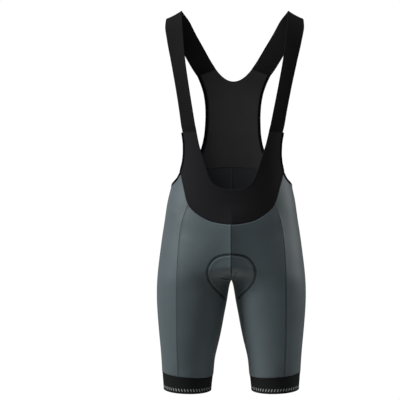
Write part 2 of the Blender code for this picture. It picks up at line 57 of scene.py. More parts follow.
logging.basicConfig(level=logging.INFO, format="%(message)s")
log = logging.getLogger("bib_shorts")

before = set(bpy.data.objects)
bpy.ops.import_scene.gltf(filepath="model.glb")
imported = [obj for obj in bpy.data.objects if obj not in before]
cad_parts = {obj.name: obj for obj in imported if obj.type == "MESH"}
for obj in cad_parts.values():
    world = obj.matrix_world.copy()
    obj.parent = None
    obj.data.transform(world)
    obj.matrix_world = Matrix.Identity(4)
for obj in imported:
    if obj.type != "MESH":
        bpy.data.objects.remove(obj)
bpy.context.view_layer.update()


class Side(Enum):
    """The wearer's side that a piece is worn on: the sign of its X."""

    LEFT = 1
    RIGHT = -1

    def named(self, name: str) -> str:
        """Return the piece's name with its side."""
        return f"{name}_{self.name.lower()}"

    @property
    def mirror(self) -> Array:
        """The factors that take left-hand points to this side."""
        return np.array([self.value, 1.0, 1.0])


class Needle(Enum):
    """How a row of stitches lies: the degrees that a stitch leans from its seam."""

    FLATLOCK = 62.0  # all to the same side
    ZIGZAG = 38.0  # to and fro
    COVER = 4.0  # almost along the seam


# ---------------------------------------------------------------- curves and grids


def unit(vectors: Array) -> Array:
    """Return each vector divided by its length."""
    return vectors / np.linalg.norm(vectors, axis=-1, keepdims=True)


def power(value: Array, exponent: Array) -> Array:
    """Return sign(value) times |value| raised to the exponent."""
    return np.sign(value) * np.abs(value) ** exponent


def blend(start: Array, end: Array, share: Array) -> Array:
    """Return start + (end - start) * share."""
    return start + (end - start) * share


def soft_step(value: Array, start: Array = 0.0, over: float = 1.0) -> Array:
    """Return 3t^2-2t^3 of t = (value - start) / over, clipped to 0..1."""
    t = np.clip((value - start) / over, 0, 1)
    return t * t * (3 - 2 * t)


def bell(distance: Array, width: float) -> Array:
    """Return exp(-(distance / width)^2)."""
    return np.exp(-((distance / width) ** 2))


def wave(distance: Array, pitch: float) -> Array:
    """Return (1 + cos(2 pi distance / pitch)) / 2, from 0 in a groove to 1 on a crest."""
    return 0.5 + 0.5 * np.cos(2 * pi * distance / pitch)


def column(rows: tuple, name: str) -> list[float]:
    """Return one measure of a table's rows."""
    return [getattr(row, name) for row in rows]


def curve(at: Array, places: Array, values: Array) -> Array:
    """Read a curve through (places, values) that never overshoots.

    Each stretch is the cubic Hermite 2t^3-3t^2+1, t^3-2t^2+t, 3t^2-2t^3, t^3-t^2, and the slope at
    a place is the harmonic mean of the rises on its two sides, or 0 where they differ in sign.

    Args:
        at: where to read the curve.
        places, values: rising places, and the value at each.

    Returns:
        The values at `at`.
    """
    places, values = np.asarray(places, float), np.asarray(values, float)
    rise = np.diff(values) / np.diff(places)
    slope = np.concatenate([rise[:1], np.zeros(len(places) - 2), rise[-1:]])
    same = rise[:-1] * rise[1:] > 0
    total = np.where(same, rise[:-1] + rise[1:], 1.0)
    slope[1:-1] = np.where(same, 2 * rise[:-1] * rise[1:] / total, 0.0)
    at = np.clip(at, places[0], places[-1])
    left = np.clip(np.searchsorted(places, at, side="right") - 1, 0, len(places) - 2)
    step = places[left + 1] - places[left]
    t = (at - places[left]) / step
    return (
        (2 * t**3 - 3 * t**2 + 1) * values[left]
        + (t**3 - 2 * t**2 + t) * step * slope[left]
        + (3 * t**2 - 2 * t**3) * values[left + 1]
        + (t**3 - t**2) * step * slope[left + 1]
    )


def graded(count: int, gather: float = 0.85) -> Array:
    """Return stations from 0 to 1 that close up towards both ends.

    Each is a blend of the even station t and the half cosine (1 - cos(pi t)) / 2.
    """
    t = np.linspace(0, 1, count + 1)
    return (1 - gather) * t + gather * (1 - np.cos(pi * t)) / 2


def spline(rows: Array, at: Array) -> Array:
    """Read a smooth curve through rows of points, at places counted in rows.

    Each stretch is the Catmull-Rom cubic: its slope at a row is half the step between its
    neighbours, and past each end the last step is repeated.
    """
    padded = np.concatenate([2 * rows[:1] - rows[1:2], rows, 2 * rows[-1:] - rows[-2:-1]])
    start = np.clip(np.floor(at).astype(int), 0, len(rows) - 2)
    t = (at - start).reshape(-1, *[1] * (rows.ndim - 1))
    a, b, c, d = (padded[start + k] for k in range(4))
    bend = 2 * a - 5 * b + 4 * c - d
    return b + 0.5 * t * ((c - a) + t * (bend + t * (3 * b - a - 3 * c + d)))


def lengths(points: Array) -> Array:
    """Return the length run along a polyline (the second last axis) up to each of its points."""
    steps = np.linalg.norm(np.diff(points, axis=-2), axis=-1)
    return np.concatenate([np.zeros((*steps.shape[:-1], 1)), np.cumsum(steps, axis=-1)], axis=-1)


def runs(grid: Array) -> Pair:
    """Return the lengths run across a grid and down it, up to each of its points."""
    return lengths(grid), lengths(grid.swapaxes(0, 1)).T


def to_edge(run: Array) -> Array:
    """Return how far each point of a run across the cloth is from the nearer end."""
    return np.minimum(run, run[:, -1:] - run)


def distance_to(points: Array, line: Array) -> Pair:
    """Measure points against a polyline.

    Returns:
        Each point's distance to the line, and the share of the line's pieces run at its nearest
        spot.
    """
    start, span = line[:-1], np.diff(line, axis=0)
    to_start = points[:, None] - start
    part = np.clip((to_start * span).sum(-1) / (span * span).sum(-1), 0, 1)
    gap = np.linalg.norm(to_start - span * part[..., None], axis=-1)
    nearest, pick = gap.argmin(axis=1), np.arange(len(points))
    return gap[pick, nearest], (nearest + part[pick, nearest]) / len(span)


def resample(points: Array, at: Array, of: Array | None = None) -> Array:
    """Return the points of a polyline, or what belongs to them, at these lengths along it."""
    run = lengths(points)
    source = points if of is None else of
    return np.stack([np.interp(at, run, axis) for axis in source.T], axis=-1)


# ---------------------------------------------------------------- the form


@dataclass(frozen=True)
class Section:
    """A level section of the form.

    half_width runs from the middle of the body to the outer side, centre is the ring's own axis (0
    where it goes round the whole body), front and back are depths from y = middle, and square is 2
    for an ellipse and more for a boxier ring.
    """

    height: float
    half_width: float
    centre: float
    front: float
    back: float
    middle: float
    square: float


SECTIONS = (
    (-878, 159.0, 102.9, 64, 64, 2, 2.1),
    (-841, 162.1, 102.1, 68, 69, 2, 2.1),
    (-811, 163.8, 101.8, 73, 74, 2, 2.1),
    (-783, 165.9, 99.7, 77, 78, 2, 2.1),
    (-754, 168.7, 97.6, 81, 82, 2, 2.1),
    (-726, 171.2, 96.1, 84, 85, 2, 2.1),
    (-698, 173.3, 94.6, 87, 88, 2, 2.15),
    (-670, 174.8, 92.6, 90, 91, 2, 2.15),
    (-642, 175.0, 90.5, 93, 95, 3, 2.2),
    (-630, 174.7, 89.2, 95, 97, 4, 2.2),
    (-621, 174.1, 88.0, 97, 99, 4, 2.2),
    (-606, 172.9, 80.2, 99, 104, 4, 2.2),
    (-590, 171.3, 69.7, 101, 110, 4, 2.2),
    (-571, 168.9, 55.7, 103, 116, 4, 2.25),
    (-543, 165.3, 34.2, 105, 120, 4, 2.3),
    (-515, 161.5, 14.0, 106, 118, 4, 2.3),
    (-486, 156.8, 0.0, 107, 113, 4, 2.35),
    (-458, 152.9, 0.0, 107, 106, 4, 2.35),
    (-430, 148.5, 0.0, 105, 99, 4, 2.35),
    (-402, 141.2, 0.0, 104, 93, 4, 2.35),
    (-365, 137.0, 0.0, 103, 89, 4, 2.35),
    (-330, 136.4, 0.0, 104, 87, 4, 2.35),
    (-281, 139.0, 0.0, 107, 87, 4, 2.35),
    (-230, 147.0, 0.0, 109, 89, 4, 2.35),
    (-170, 155.0, 0.0, 107, 90, 4, 2.3),
    (-110, 160.0, 0.0, 100, 88, 4, 2.3),
)


@dataclass(frozen=True)
class Crease:
    """A soft fold of the cloth, from one place to another.

    The ends are x (its sign is the side) and height, on the front or the back of the form. lift is
    how far the fold stands out, or sinks in where it is negative, and width is its half breadth.
    """

    x0: float
    z0: float
    x1: float
    z1: float
    lift: float
    width: float
    bow: float = 0.0
    back: bool = False


CREASES = (
    # at the crotch, where the inseams pull
    (-26, -610, -5, -616, -1.7, 1.9, -1.5),
    (-22, -613.5, -3, -619, 1.1, 2.4, -1.5),
    (9.5, -596, 6.0, -613, -1.5, 1.6, 0.5),
    (13, -598, 10.5, -612, 0.6, 2.0, 0.5),
    (3, -612, 14, -616, 1.0, 2.2, 1),
    (-34, -604, -14, -606, 0.5, 3.0, 1),
    # faint pulls on the front of the thighs and over the hips
    (-60, -640, -28, -656, -0.7, 7.0, 3),
    (34, -634, 68, -648, -0.6, 7.5, -3),
    (-118, -520, -84, -541, 0.5, 9.0, 3),
    (92, -533, 121, -512, 0.5, 8.0, -3),
    (-146, -452, -121, -470, 0.5, 7.0),
    (126, -466, 148, -449, 0.5, 7.0),
    (-140, -826, -92, -831, 0.45, 4.5, -1),
    (88, -829, 138, -824, 0.45, 4.5, 1),
    # under the seat and at the back of the thighs
    (24, -612, 92, -632, -2.0, 6.0, -6, True),
    (-20, -610, -96, -634, -2.2, 6.5, -6, True),
    (34, -633, 84, -646, 0.9, 5.0, -4, True),
    (-38, -634, -78, -644, 1.0, 5.0, -4, True),
    (12, -603, 30, -588, 1.0, 3.6, 2, True),
    (-12, -604, -26, -592, -1.0, 3.2, 2, True),
    (-62, -664, -104, -660, -0.8, 7.0, 2, True),
    (58, -668, 96, -659, -0.8, 7.5, 2, True),
    # across the small of the back, and above the bands
    (-84, -404, -22, -413, 0.8, 6.0, 3, True),
    (20, -409, 92, -402, 0.8, 5.5, 3, True),
    (-64, -428, 34, -431, -0.7, 8.0, 2, True),
    (-88, -839, -130, -828, 0.5, 5.0, 1, True),
    (86, -826, 132, -833, 0.5, 5.0, 1, True),
)


@dataclass(frozen=True)
class Form:
    """The outside of the cloth: a stack of level sections with soft creases on it."""

    sections: tuple[Section, ...] = tuple(Section(*row) for row in SECTIONS)
    creases: tuple[Crease, ...] = tuple(Crease(*row) for row in CREASES)
    # A section's measures are averaged with these weights over the reach above and below it
    reach: float = 20.0
    weights: tuple[float, ...] = (1 / 16, 4 / 16, 6 / 16, 4 / 16, 1 / 16)
    # The angle and the height to either side over which a direction is measured
    probe: Span = (1e-3, 0.05)
    # A crease dies away to its ends as a half sine to this power
    fade: float = 0.6
    # The shoulders lean out from this height upwards
    lean_from: float = -450.0
    shoulder_lean: float = 8.3
    # The front's fullness, and (start, length) of its fades: down, up, and forwards
    keel: float = 12.5
    keel_reach: float = 50.0
    keel_rest: float = 1.3
    keel_fades: Places = ((440.0, 60.0), (-618.0, 26.0), (15.0, 50.0))
    # Above the crotch the fronts of the two legs become one front, from this height on
    filled_to: float = -611.0
    filled_over: float = 27.0
    # The legs part between these heights, where the inner thighs are this far apart
    parts_between: Span = (-660.0, -560.0)
    parting: float = 0.02
    # Half of the ring of stitches that holds the seat pad, as (x, z) on the front, from its top
    # down, the middle and reach of what it moves, and (height, width, distance inside) of what it
    # does
    ring: Places = (
        *((0.0, -556.6), (17.0, -558.4), (33.5, -563.6), (46.5, -575.5), (54.0, -594.0)),
        *((51.5, -614.0), (41.0, -632.0), (26.0, -649.0), (14.5, -663.4)),
    )
    ring_middle: Triple = (0.0, -80.0, -605.0)
    ring_reach: float = 95.0
    groove: Span = (-0.9, 2.2)
    puff: Triple = (0.55, 3.0, 6.0)

    def at(self, height: Array) -> dict[str, Array]:
        """Return each measure of the section at these heights.

        A measure is read from the table's curve at even steps over the reach above and below, and
        averaged with the weights, so that no ridge shows at a row.
        """
        steps = self.reach * np.linspace(-1, 1, len(self.weights))
        near = np.asarray(height, float)[..., None] + steps
        rows, weights = column(self.sections, "height"), np.array(self.weights)
        names = ("half_width", "centre", "front", "back", "middle", "square")
        return {name: curve(near, rows, column(self.sections, name)) @ weights for name in names}

    def fullness(self, x: Array, y: Array, height: Array) -> Array:
        """Return how far the front stands out along the centre seam.

        The keel is keel * exp(-|x| / keel_reach) - keel_rest. It fades in below the bib's hem, out
        above the crotch, and from the front round to the side.
        """
        down, up, forwards = (
            soft_step(value, *fade) for value, fade in zip((-height, height, -y), self.keel_fades)
        )
        keel = self.keel * np.exp(-np.abs(x) / self.keel_reach) - self.keel_rest
        return keel * (down * up * forwards)

    def point(self, turn: Array, height: Array) -> Array:
        """Return the smooth form's points.

        x is centre + (half_width - centre) * S and y is middle - depth * C, where S and C are the
        turn's sine and cosine raised to 2 / square, and depth is front where C is positive. Between
        the legs C is filled out to 1 above the crotch, and the front's fullness comes off y.
        """
        turn, height = np.broadcast_arrays(np.asarray(turn, float), np.asarray(height, float))
        row = self.at(height)
        across = power(np.sin(turn), 2 / row["square"])
        along = power(np.cos(turn), 2 / row["square"])
        depth = np.where(along > 0, row["front"], row["back"])
        x = blend(row["centre"], row["half_width"], across)
        between = (np.sin(turn) < 0) & (along > 0)
        filled = along + (1 - along) * soft_step(height, self.filled_to, self.filled_over)
        y = row["middle"] - depth * np.where(between, filled, along)
        return np.stack([x, y - self.fullness(x, y, height), height], axis=-1)

    def directions(self, turn: Array, height: Array) -> Pair:
        """Return how a point moves with its turn and with its height, by central differences."""
        angle, rise = self.probe
        by_turn = self.point(turn + angle, height) - self.point(turn - angle, height)
        by_height = self.point(turn, height + rise) - self.point(turn, height - rise)
        return by_turn / (2 * angle), by_height / (2 * rise)

    def normal(self, turn: Array, height: Array) -> Array:
        """Return the outward direction: the cross product of the two directions."""
        return unit(np.cross(*self.directions(turn, height)))

    def turn_at(self, x: Array, height: Array) -> Array:
        """Return the turn on the front half at which a section is x from the middle of the body."""
        row = self.at(height)
        share = np.clip((x - row["centre"]) / (row["half_width"] - row["centre"]), -1, 1)
        return np.arcsin(power(share, row["square"] / 2))

    def first_turn(self, height: Array, x: float = SEAM_GAP / 2) -> Array:
        """Return where a half begins: at the centre front, or the inseam below the crotch."""
        return np.maximum(self.turn_at(x, height), -pi / 2 + 0.001)

    def last_turn(self, height: Array) -> Array:
        """Return where a half ends: at the centre back, or the inseam below the crotch."""
        return pi - self.first_turn(height)

    @cached_property
    def crotch(self) -> float:
        """The height at which the legs part."""
        heights = np.linspace(*self.parts_between, 20001)
        row = self.at(heights)
        return float(heights[2 * row["centre"] - row["half_width"] > self.parting][-1])

    def ring_places(self, count: int) -> Pair:
        """Return (turn, height) of places down the left half of the pad's ring on the front."""
        x, z = spline(np.array(self.ring), np.linspace(0, len(self.ring) - 1, count)).T
        return self.turn_at(x, z), z

    @cached_property
    def ring_line(self) -> Array:
        """The left half of the pad's ring on the form, as points."""
        return self.point(*self.ring_places(60))

    def lift(self, points: Array, side: Side) -> Array:
        """Return how far the creases and the pad's ring move these points along the form's normal.

        A crease is a polyline with a bow. Its height falls off as a bell of the distance to it, and
        as a half sine to the power of fade from its middle to its ends. The stitches press a groove
        along the ring, and the pad fills the cloth out just inside it.

        Args:
            points: places on the form in left-hand millimetres.
            side: the side worn on, which chooses the creases.

        Returns:
            The distances in millimetres.
        """
        flat = (points * side.mirror).reshape(-1, 3)
        total, run = np.zeros(len(flat)), np.linspace(0, 1, 13)
        for crease in (c for c in self.creases if c.x0 * side.value > 0):
            x = np.abs(blend(crease.x0, crease.x1, run))
            z = blend(crease.z0, crease.z1, run) + crease.bow * np.sin(pi * run)
            turn = self.turn_at(x, z)
            line = self.point(pi - turn if crease.back else turn, z)
            line[:, 0] *= side.value
            near = np.linalg.norm(flat - line.mean(axis=0), axis=1)
            chosen = np.flatnonzero(near < lengths(line)[-1] + 3 * crease.width)
            gap, along = distance_to(flat[chosen], line)
            total[chosen] += crease.lift * np.sin(pi * along) ** self.fade * bell(gap, crease.width)
        folded = np.column_stack([np.abs(flat[:, 0]), flat[:, 1:]])
        middle = np.array(self.ring_middle)
        chosen = np.flatnonzero(np.linalg.norm(folded - middle, axis=1) < self.ring_reach)
        gap, along = distance_to(folded[chosen], self.ring_line)
        nearest = resample(self.ring_line, along * lengths(self.ring_line)[-1])
        own, ring = (np.hypot(*(p - middle)[:, ::2].T) for p in (folded[chosen], nearest))
        gap = np.where(own < ring, gap, -gap)
        (sunk, sunk_width), (raised, raised_width, inset) = self.groove, self.puff
        puffed = raised * bell(gap - inset, raised_width) * (own < ring)
        total[chosen] += sunk * bell(gap, sunk_width) + puffed
        return total.reshape(points.shape[:-1])

    def settle(self, points: Array, side: Side) -> Array:
        """Mirror left-hand points to their side, lean the shoulders, and turn them to metres."""
        placed = points * side.mirror
        rise = np.maximum(placed[..., 2] - self.lean_from, 0) / -self.lean_from
        placed[..., 0] += self.shoulder_lean * rise
        return placed * MM


FORM = Form()


def laid(
    turn: Array, height: Array, side: Side, wall: float, proud: Array = 0.0, ridge: Array = 0.0
) -> Pair:
    """Lay cloth on the form.

    The outer point is form + normal * (proud + crease lift), moved to the front by the ridge, and
    the inner one is a wall below it.

    Args:
        turn, height: the grid's places.
        side: the side worn on, for its creases.
        wall: the cloth's thickness.
        proud: how far its outside stands off the form.
        ridge: how far it is held out to the front, as along a side seam.

    Returns:
        The outer and the inner grid in left-hand millimetres.
    """
    points, normals = FORM.point(turn, height), FORM.normal(turn, height)
    outside = proud + FORM.lift(points, side)
    points = points - np.array([0.0, 1.0, 0.0]) * np.asarray(ridge)[..., None]
    return points + normals * outside[..., None], points + normals * (outside - wall)[..., None]


# ---------------------------------------------------------------- meshes


def volume(points: Array, faces: Array) -> float:
    """Return the volume inside quads: the sum of a . (b x c) / 6 over both triangles of each."""
    a, b, c, d = (points[faces[:, k]] for k in range(4))
    return float(((a * np.cross(b, c)).sum() + (a * np.cross(c, d)).sum()) / 6)


def mesh_object(
    name: str, points: Array, faces: Array, finish: Material, chart: Array | None = None
) -> Object:
    """Put points and quads into a smooth mesh object at the origin.

    Args:
        name, finish: the object's name and material.
        points: vertices in metres.
        faces: four vertex numbers a face.
        chart: two cloth measures for each face corner, kept as the map "cloth".

    Returns:
        The new object.
    """
    data = bpy.data.meshes.new(name)
    data.from_pydata(points.tolist(), [], faces.tolist())
    if chart is not None:
        data.uv_layers.new(name="cloth").data.foreach_set("uv", chart.astype(np.float32).ravel())
    data.shade_smooth()
    data.set_sharp_from_angle(angle=SHARP)
    data.materials.append(finish)
    made = bpy.data.objects.new(name, data)
    bpy.context.scene.collection.objects.link(made)
    return made


def finished(piece: Object, slot: str, *nodes: str) -> Object:
    """Hang a piece on the garment's body, and let it stand for its CAD nodes."""
    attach(piece, "root")
    if nodes:
        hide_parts(*nodes)
    log.info("%s: %d faces", piece.name, len(piece.data.polygons))
    return piece


@dataclass
class Wall:
    """A wall of cloth: an outer and an inner grid of points, and the cloth's own measures.

    across and along are each point's place on the cloth in millimetres, for its knit. A ring closes
    on itself across.
    """

    outer: Array
    inner: Array
    across: Array
    along: Array
    ring: bool = False

    @classmethod
    def worn(
        cls, grids: Pair, side: Side, across: Array, along: Array, ring: bool = False
    ) -> "Wall":
        """Return the wall between left-hand grids, put in its place on the side worn on."""
        return cls(*(FORM.settle(grid, side) for grid in grids), across, along, ring)

    def build(
        self, name: str, finish: Material, rounding: float = 0.5, lining: Material | None = None
    ) -> Object:
        """Make the closed mesh: both grids, and a strip of faces round their open edges.

        Args:
            name, finish: the piece's name and material.
            rounding: how far the edges of the cloth are rounded off.
            lining: the material of its inner face, where that differs.

        Returns:
            The piece, with its place in its mesh.
        """
        rows, columns = self.outer.shape[:2]
        r, c = np.mgrid[: rows - 1, : columns if self.ring else columns - 1].reshape(2, -1)
        top, left = c[r == 0], r[c == 0]
        still, step, through = [0, 0, 0, 0], [0, 1, 1, 0], [0, 0, 1, 1]
        # Rows, columns and layers of each face's corners, and whether they are taken backwards
        parts = [
            (r, c, through, step, still, False),
            (r, c, through, step, [1, 1, 1, 1], True),
            (0 * top, top, still, step, through, True),
            (0 * top + rows - 1, top, still, step, through, False),
        ]
        if not self.ring:
            parts += [
                (left, 0 * left, step, still, through, False),
                (left, 0 * left + columns - 1, step, still, through, True),
            ]
        spots = []
        for r, c, dr, dc, depth, backwards in parts:
            spot = np.stack([r[:, None] + dr, c[:, None] + dc, 0 * r[:, None] + depth])
            spots.append(spot[..., ::-1] if backwards else spot)
        row, place, layer = np.concatenate(spots, axis=1)
        faces = (layer * rows + row) * columns + place % columns
        points = np.concatenate([self.outer.reshape(-1, 3), self.inner.reshape(-1, 3)])
        if volume(points, faces) < 0:
            faces, row, place = (part[:, ::-1] for part in (faces, row, place))
        chart = np.stack([self.across[row, place], self.along[row, place]], -1)
        made = mesh_object(name, points, faces, finish, chart.reshape(-1, 2))
        if lining:
            made.data.materials.append(lining)
            inside = layer.min(axis=1) == 1
            made.data.polygons.foreach_set("material_index", inside.astype(np.int32))
        if rounding:
            bevel = made.modifiers.new("rounded edge", "BEVEL")
            bevel.width = rounding * MM
            bevel.segments = 2
            bevel.limit_method = "ANGLE"
            bevel.angle_limit = SHARP
            bevel.harden_normals = False
        return made


def seam_roll(distance: Array, ridge: float = 0.3) -> Array:
    """Return the height of sewn cloth at a distance from its seam.

    The edge rolls in by a bell 0.9 wide, and the seam allowance behind it raises a ridge, a bell
    1.6 wide about 3.0 from the edge.
    """
    return -0.5 * bell(distance, 0.9) + ridge * bell(distance - 3.0, 1.6)


def rolled_in(distance: Array) -> Array:
    """Return how far a turned edge rolls in: a bell 0.35 high and 0.8 wide."""
    return 0.35 * bell(distance, 0.8)


def turned_edge(distance: Array, hem: float) -> Array:
    """Return the height of cloth at a distance from an edge that is turned in and rolls in.

    The hem is 0.25 thicker than the cloth, and ends in a step 0.8 wide.
    """
    return 0.25 * (1 - soft_step(distance, hem, 0.8)) - rolled_in(distance)


@dataclass(frozen=True)
class Bar:
    """A small rounded bar, such as a stitch or a printed dash, whose middle rises by its arch."""

    length: float
    width: float
    thickness: float
    arch: float = 0.0

    def rows(self, centres: Array, heading: Array, normal: Array) -> Array:
        """Lay a bar at each centre: five rings of four corners, fuller in the middle.

        Args:
            centres, heading, normal: one row a bar. The bar's length lies along its heading.

        Returns:
            The bars' points, (bar, ring, corner, 3).
        """
        side = unit(np.cross(normal, heading))
        t, size = np.array([-1, -0.8, 0.0, 0.8, 1]), np.array([0.35, 0.9, 1.0, 0.9, 0.35])[:, None]
        corner = np.array([[1, 0], [0, 1], [-1, 0], [0, -1]]) * 0.5
        along = heading[:, None, None] * (t * self.length / 2)[None, :, None, None]
        aside = side[:, None, None] * (size * corner[:, 0] * self.width)[None, ..., None]
        rise = self.arch * (1 - t**2)[:, None] + size * corner[:, 1] * self.thickness
        upwards = normal[:, None, None] * rise[None, ..., None]
        return centres[:, None, None] + along + aside + upwards


def build_bars(name: str, points: Array, side: Side, finish: Material, slot: str) -> None:
    """Join bars into one piece: quads between neighbouring rings and one at each end.

    Args:
        name, finish, slot: the piece's name and material; slot is not used.
        points: (bar, ring, corner, 3) in left-hand millimetres.
        side: the side worn on.
    """
    count, rings = points.shape[:2]
    ring, k = np.arange(rings - 1)[:, None] * 4, np.arange(4)
    sides = np.stack([ring + k, ring + (k + 1) % 4, ring + 4 + (k + 1) % 4, ring + 4 + k], -1)
    one = np.concatenate([sides.reshape(-1, 4), [k[::-1], 4 * rings - 4 + k]])
    placed = FORM.settle(points, side).reshape(-1, 3)
    if volume(placed[: rings * 4], one) < 0:
        one = one[:, ::-1]
    faces = (np.arange(count)[:, None, None] * rings * 4 + one).reshape(-1, 4)
    finished(mesh_object(name, placed, faces, finish), slot)


# ---------------------------------------------------------------- finishes


def linear(colour: str) -> tuple[float, float, float, float]:
    """Turn an sRGB hex colour to linear.

    A part is c / 12.92 up to 0.04045, and ((c + 0.055) / 1.055)^2.4 above it.
    """
    parts = [int(colour[k : k + 2], 16) / 255 for k in (1, 3, 5)]
    values = [c / 12.92 if c <= 0.04045 else ((c + 0.055) / 1.055) ** 2.4 for c in parts]
    return (*values, 1.0)


def add_node(
    tree: Tree, kind: str, inputs: dict | None = None, out: int | str = 0, **settings
) -> Socket | None:
    """Add a shader node to a tree.

    Args:
        tree: the material's or world's node tree.
        kind: the node's type, without the word ShaderNode.
        inputs: for each input's name or number, its value or the output that feeds it.
        out: the name or number of the output that is wanted.
        settings: the node's own properties.

    Returns:
        That output, where the node has any.
    """
    node = tree.nodes.new("ShaderNode" + kind)
    for key, value in settings.items():
        setattr(node, key, value)
    for key, value in (inputs or {}).items():
        if isinstance(value, Socket):
            tree.links.new(value, node.inputs[key])
        else:
            node.inputs[key].default_value = value
    return node.outputs[out] if len(node.outputs) else None


@dataclass(frozen=True)
class Finish:
    """A named material whose Principled surface is fed by a few nodes."""

    name: str

    def surface(self, tree: Tree) -> dict:
        """Add this finish's nodes to the tree, and return the surface's inputs."""
        raise NotImplementedError

    def build(self) -> Material:
        """Make the material."""
        made = bpy.data.materials.new(self.name)
        made.use_nodes = True
        tree = made.node_tree
        tree.nodes.clear()
        surface = add_node(tree, "BsdfPrincipled", self.surface(tree))
        add_node(tree, "OutputMaterial", {"Surface": surface})
        return made

    def noise(self, tree: Tree, at: Socket, scale: float, detail: float = 2.0) -> Socket:
        """Add a noise and return its value."""
        return add_node(tree, "TexNoise", {"Vector": at, "Scale": scale, "Detail": detail}, "Fac")

    def ranged(self, tree: Tree, value: Socket, to: Span, of: Span = (0.0, 1.0)) -> Socket:
        """Return the value with its range turned to another range."""
        limits = {"From Min": of[0], "From Max": of[1], "To Min": to[0], "To Max": to[1]}
        return add_node(tree, "MapRange", {"Value": value, **limits})

    def shaded(self, tree: Tree, colour: str, shade: Socket) -> Socket:
        """Return the colour times the shade."""
        inputs = {0: linear(colour)[:3], "Scale": shade}
        return add_node(tree, "VectorMath", inputs, operation="SCALE")

    def bump(self, tree: Tree, height: Socket, strength: float, deep: float) -> Socket:
        """Return the normal over a relief this many millimetres deep."""
        inputs = {"Height": height, "Strength": strength, "Distance": deep * MM}
        return add_node(tree, "Bump", inputs)


@dataclass(frozen=True)
class Knit(Finish):
    """A knitted cloth: wales that run up it, courses across it, and slow shifts of tone.

    wale and course are the real spacings in millimetres, relief the height of a loop, shift how
    much the tone wanders over a patch, and pore how much darker the colour is painted where the
    loops sink, as painted shade in the holes between loops.
    """

    colour: str
    roughness: float
    specular: float
    sheen: float
    sheen_roughness: float
    wale: float
    course: float
    relief: float
    shift: float
    patch: float
    pore: float

    def ribs(self, tree: Tree, chart: Socket, spacing: float, axis: str) -> Socket:
        """Return ribs across an axis: a Wave texture's bands are 2 pi / (20 scale) apart."""
        inputs = {"Vector": chart, "Scale": 2 * pi / (20 * spacing), "Distortion": 0.0}
        return add_node(tree, "TexWave", inputs, "Fac", bands_direction=axis)

    def surface(self, tree: Tree) -> dict:
        """Lay knit bump over the base colour, with painted shade in the holes between loops, drift
        and fuzz.
        """
        chart = add_node(tree, "UVMap", out="UV", uv_map="cloth")
        wales = self.ribs(tree, chart, self.wale, "X")
        courses = self.ribs(tree, chart, self.course, "Y")
        loops = add_node(tree, "Math", {0: wales, 1: courses}, operation="MULTIPLY")
        drift = self.noise(tree, add_node(tree, "TexCoord", out="Object"), 1000 / self.patch)
        tone = self.ranged(tree, drift, (1 - self.shift, 1 + self.shift), of=(0.3, 0.7))
        # painted shade: the colour is darkened by up to pore where the loops sink
        hole_shade = self.ranged(tree, loops, (1 - self.pore, 1.0), of=(0.0, 0.35))
        shade = add_node(tree, "Math", {0: tone, 1: hole_shade}, operation="MULTIPLY")
        fuzz = self.noise(tree, chart, 0.9, 3.0)
        return {
            "Base Color": self.shaded(tree, self.colour, shade),
            "Roughness": self.ranged(tree, fuzz, (self.roughness - 0.05, self.roughness + 0.05)),
            "Normal": self.bump(tree, loops, 0.35, self.relief),
            "IOR": 1.5,
            "Specular IOR Level": self.specular,
            "Sheen Weight": self.sheen,
            "Sheen Roughness": self.sheen_roughness,
        }


@dataclass(frozen=True)
class PlainFinish(Finish):
    """A finish with one colour and a fine grain: sewing thread, print, or the studio floor."""

    colour: str
    roughness: float
    specular: float
    grain: float
    shift: float

    def surface(self, tree: Tree) -> dict:
        """Lay a noise of the grain's size over the colour, in tone and bump."""
        noise = self.noise(tree, add_node(tree, "TexCoord", out="Object"), 1000 / self.grain)
        tone = self.ranged(tree, noise, (1 - self.shift, 1 + self.shift))
        return {
            "Base Color": self.shaded(tree, self.colour, tone),
            "Roughness": self.roughness,
            "Specular IOR Level": self.specular,
            "Normal": self.bump(tree, noise, 0.2, self.grain * 0.1),
        }


@dataclass(frozen=True)
class FoamPad(Finish):
    """The moulded pad's finish: foam under a brushed green knit, lighter where it is thin, with
    painted shade darkening its sunk channel and pores.
    """

    deep: str
    mid: str
    light: str

    def surface(self, tree: Tree) -> dict:
        """Read the colour from the mesh's tone, over a fine knit bump."""
        chart = add_node(tree, "UVMap", out="UV", uv_map="cloth")
        tone = add_node(tree, "Attribute", out="Fac", attribute_name="tone")
        colour = add_node(tree, "ValToRGB", {"Fac": tone}, "Color")
        stops = colour.node.color_ramp.elements
        stops[0].color, stops[1].color = linear(self.deep), linear(self.light)
        stops.new(0.45).color = linear(self.mid)
        cells = {"Vector": chart, "Scale": 0.9, "Randomness": 0.15}
        knit = add_node(tree, "TexVoronoi", cells, "Distance")
        return {
            "Base Color": colour,
            "Roughness": 0.8,
            "Specular IOR Level": 0.2,
            "Sheen Weight": 0.15,
            "Normal": self.bump(tree, knit, 0.3, 0.15),
        }


# Polyamide and elastane warp knit, dyed in the piece: dense, smooth, with a soft satin gloss. Its
# real wales are 0.45 apart; 0.9 is the finest that shows.
LYCRA = Knit("stretch_lycra", "#545f63", 0.50, 0.27, 0.12, 0.45, 0.9, 0.9, 0.10, 0.04, 55, 0.12)
# Its inner face is brushed and reads near black inside the garment.
LYCRA_INSIDE = Knit("lycra_inside", "#202123", 0.8, 0.05, 0.05, 0.6, 1.1, 1.1, 0.08, 0.04, 40, 0.1)
# Brushed black bib knit, matte, with faint ribs.
BIB_KNIT = Knit("bib_knit", "#202022", 0.80, 0.06, 0.02, 0.5, 1.1, 1.1, 0.12, 0.05, 40, 0.2)
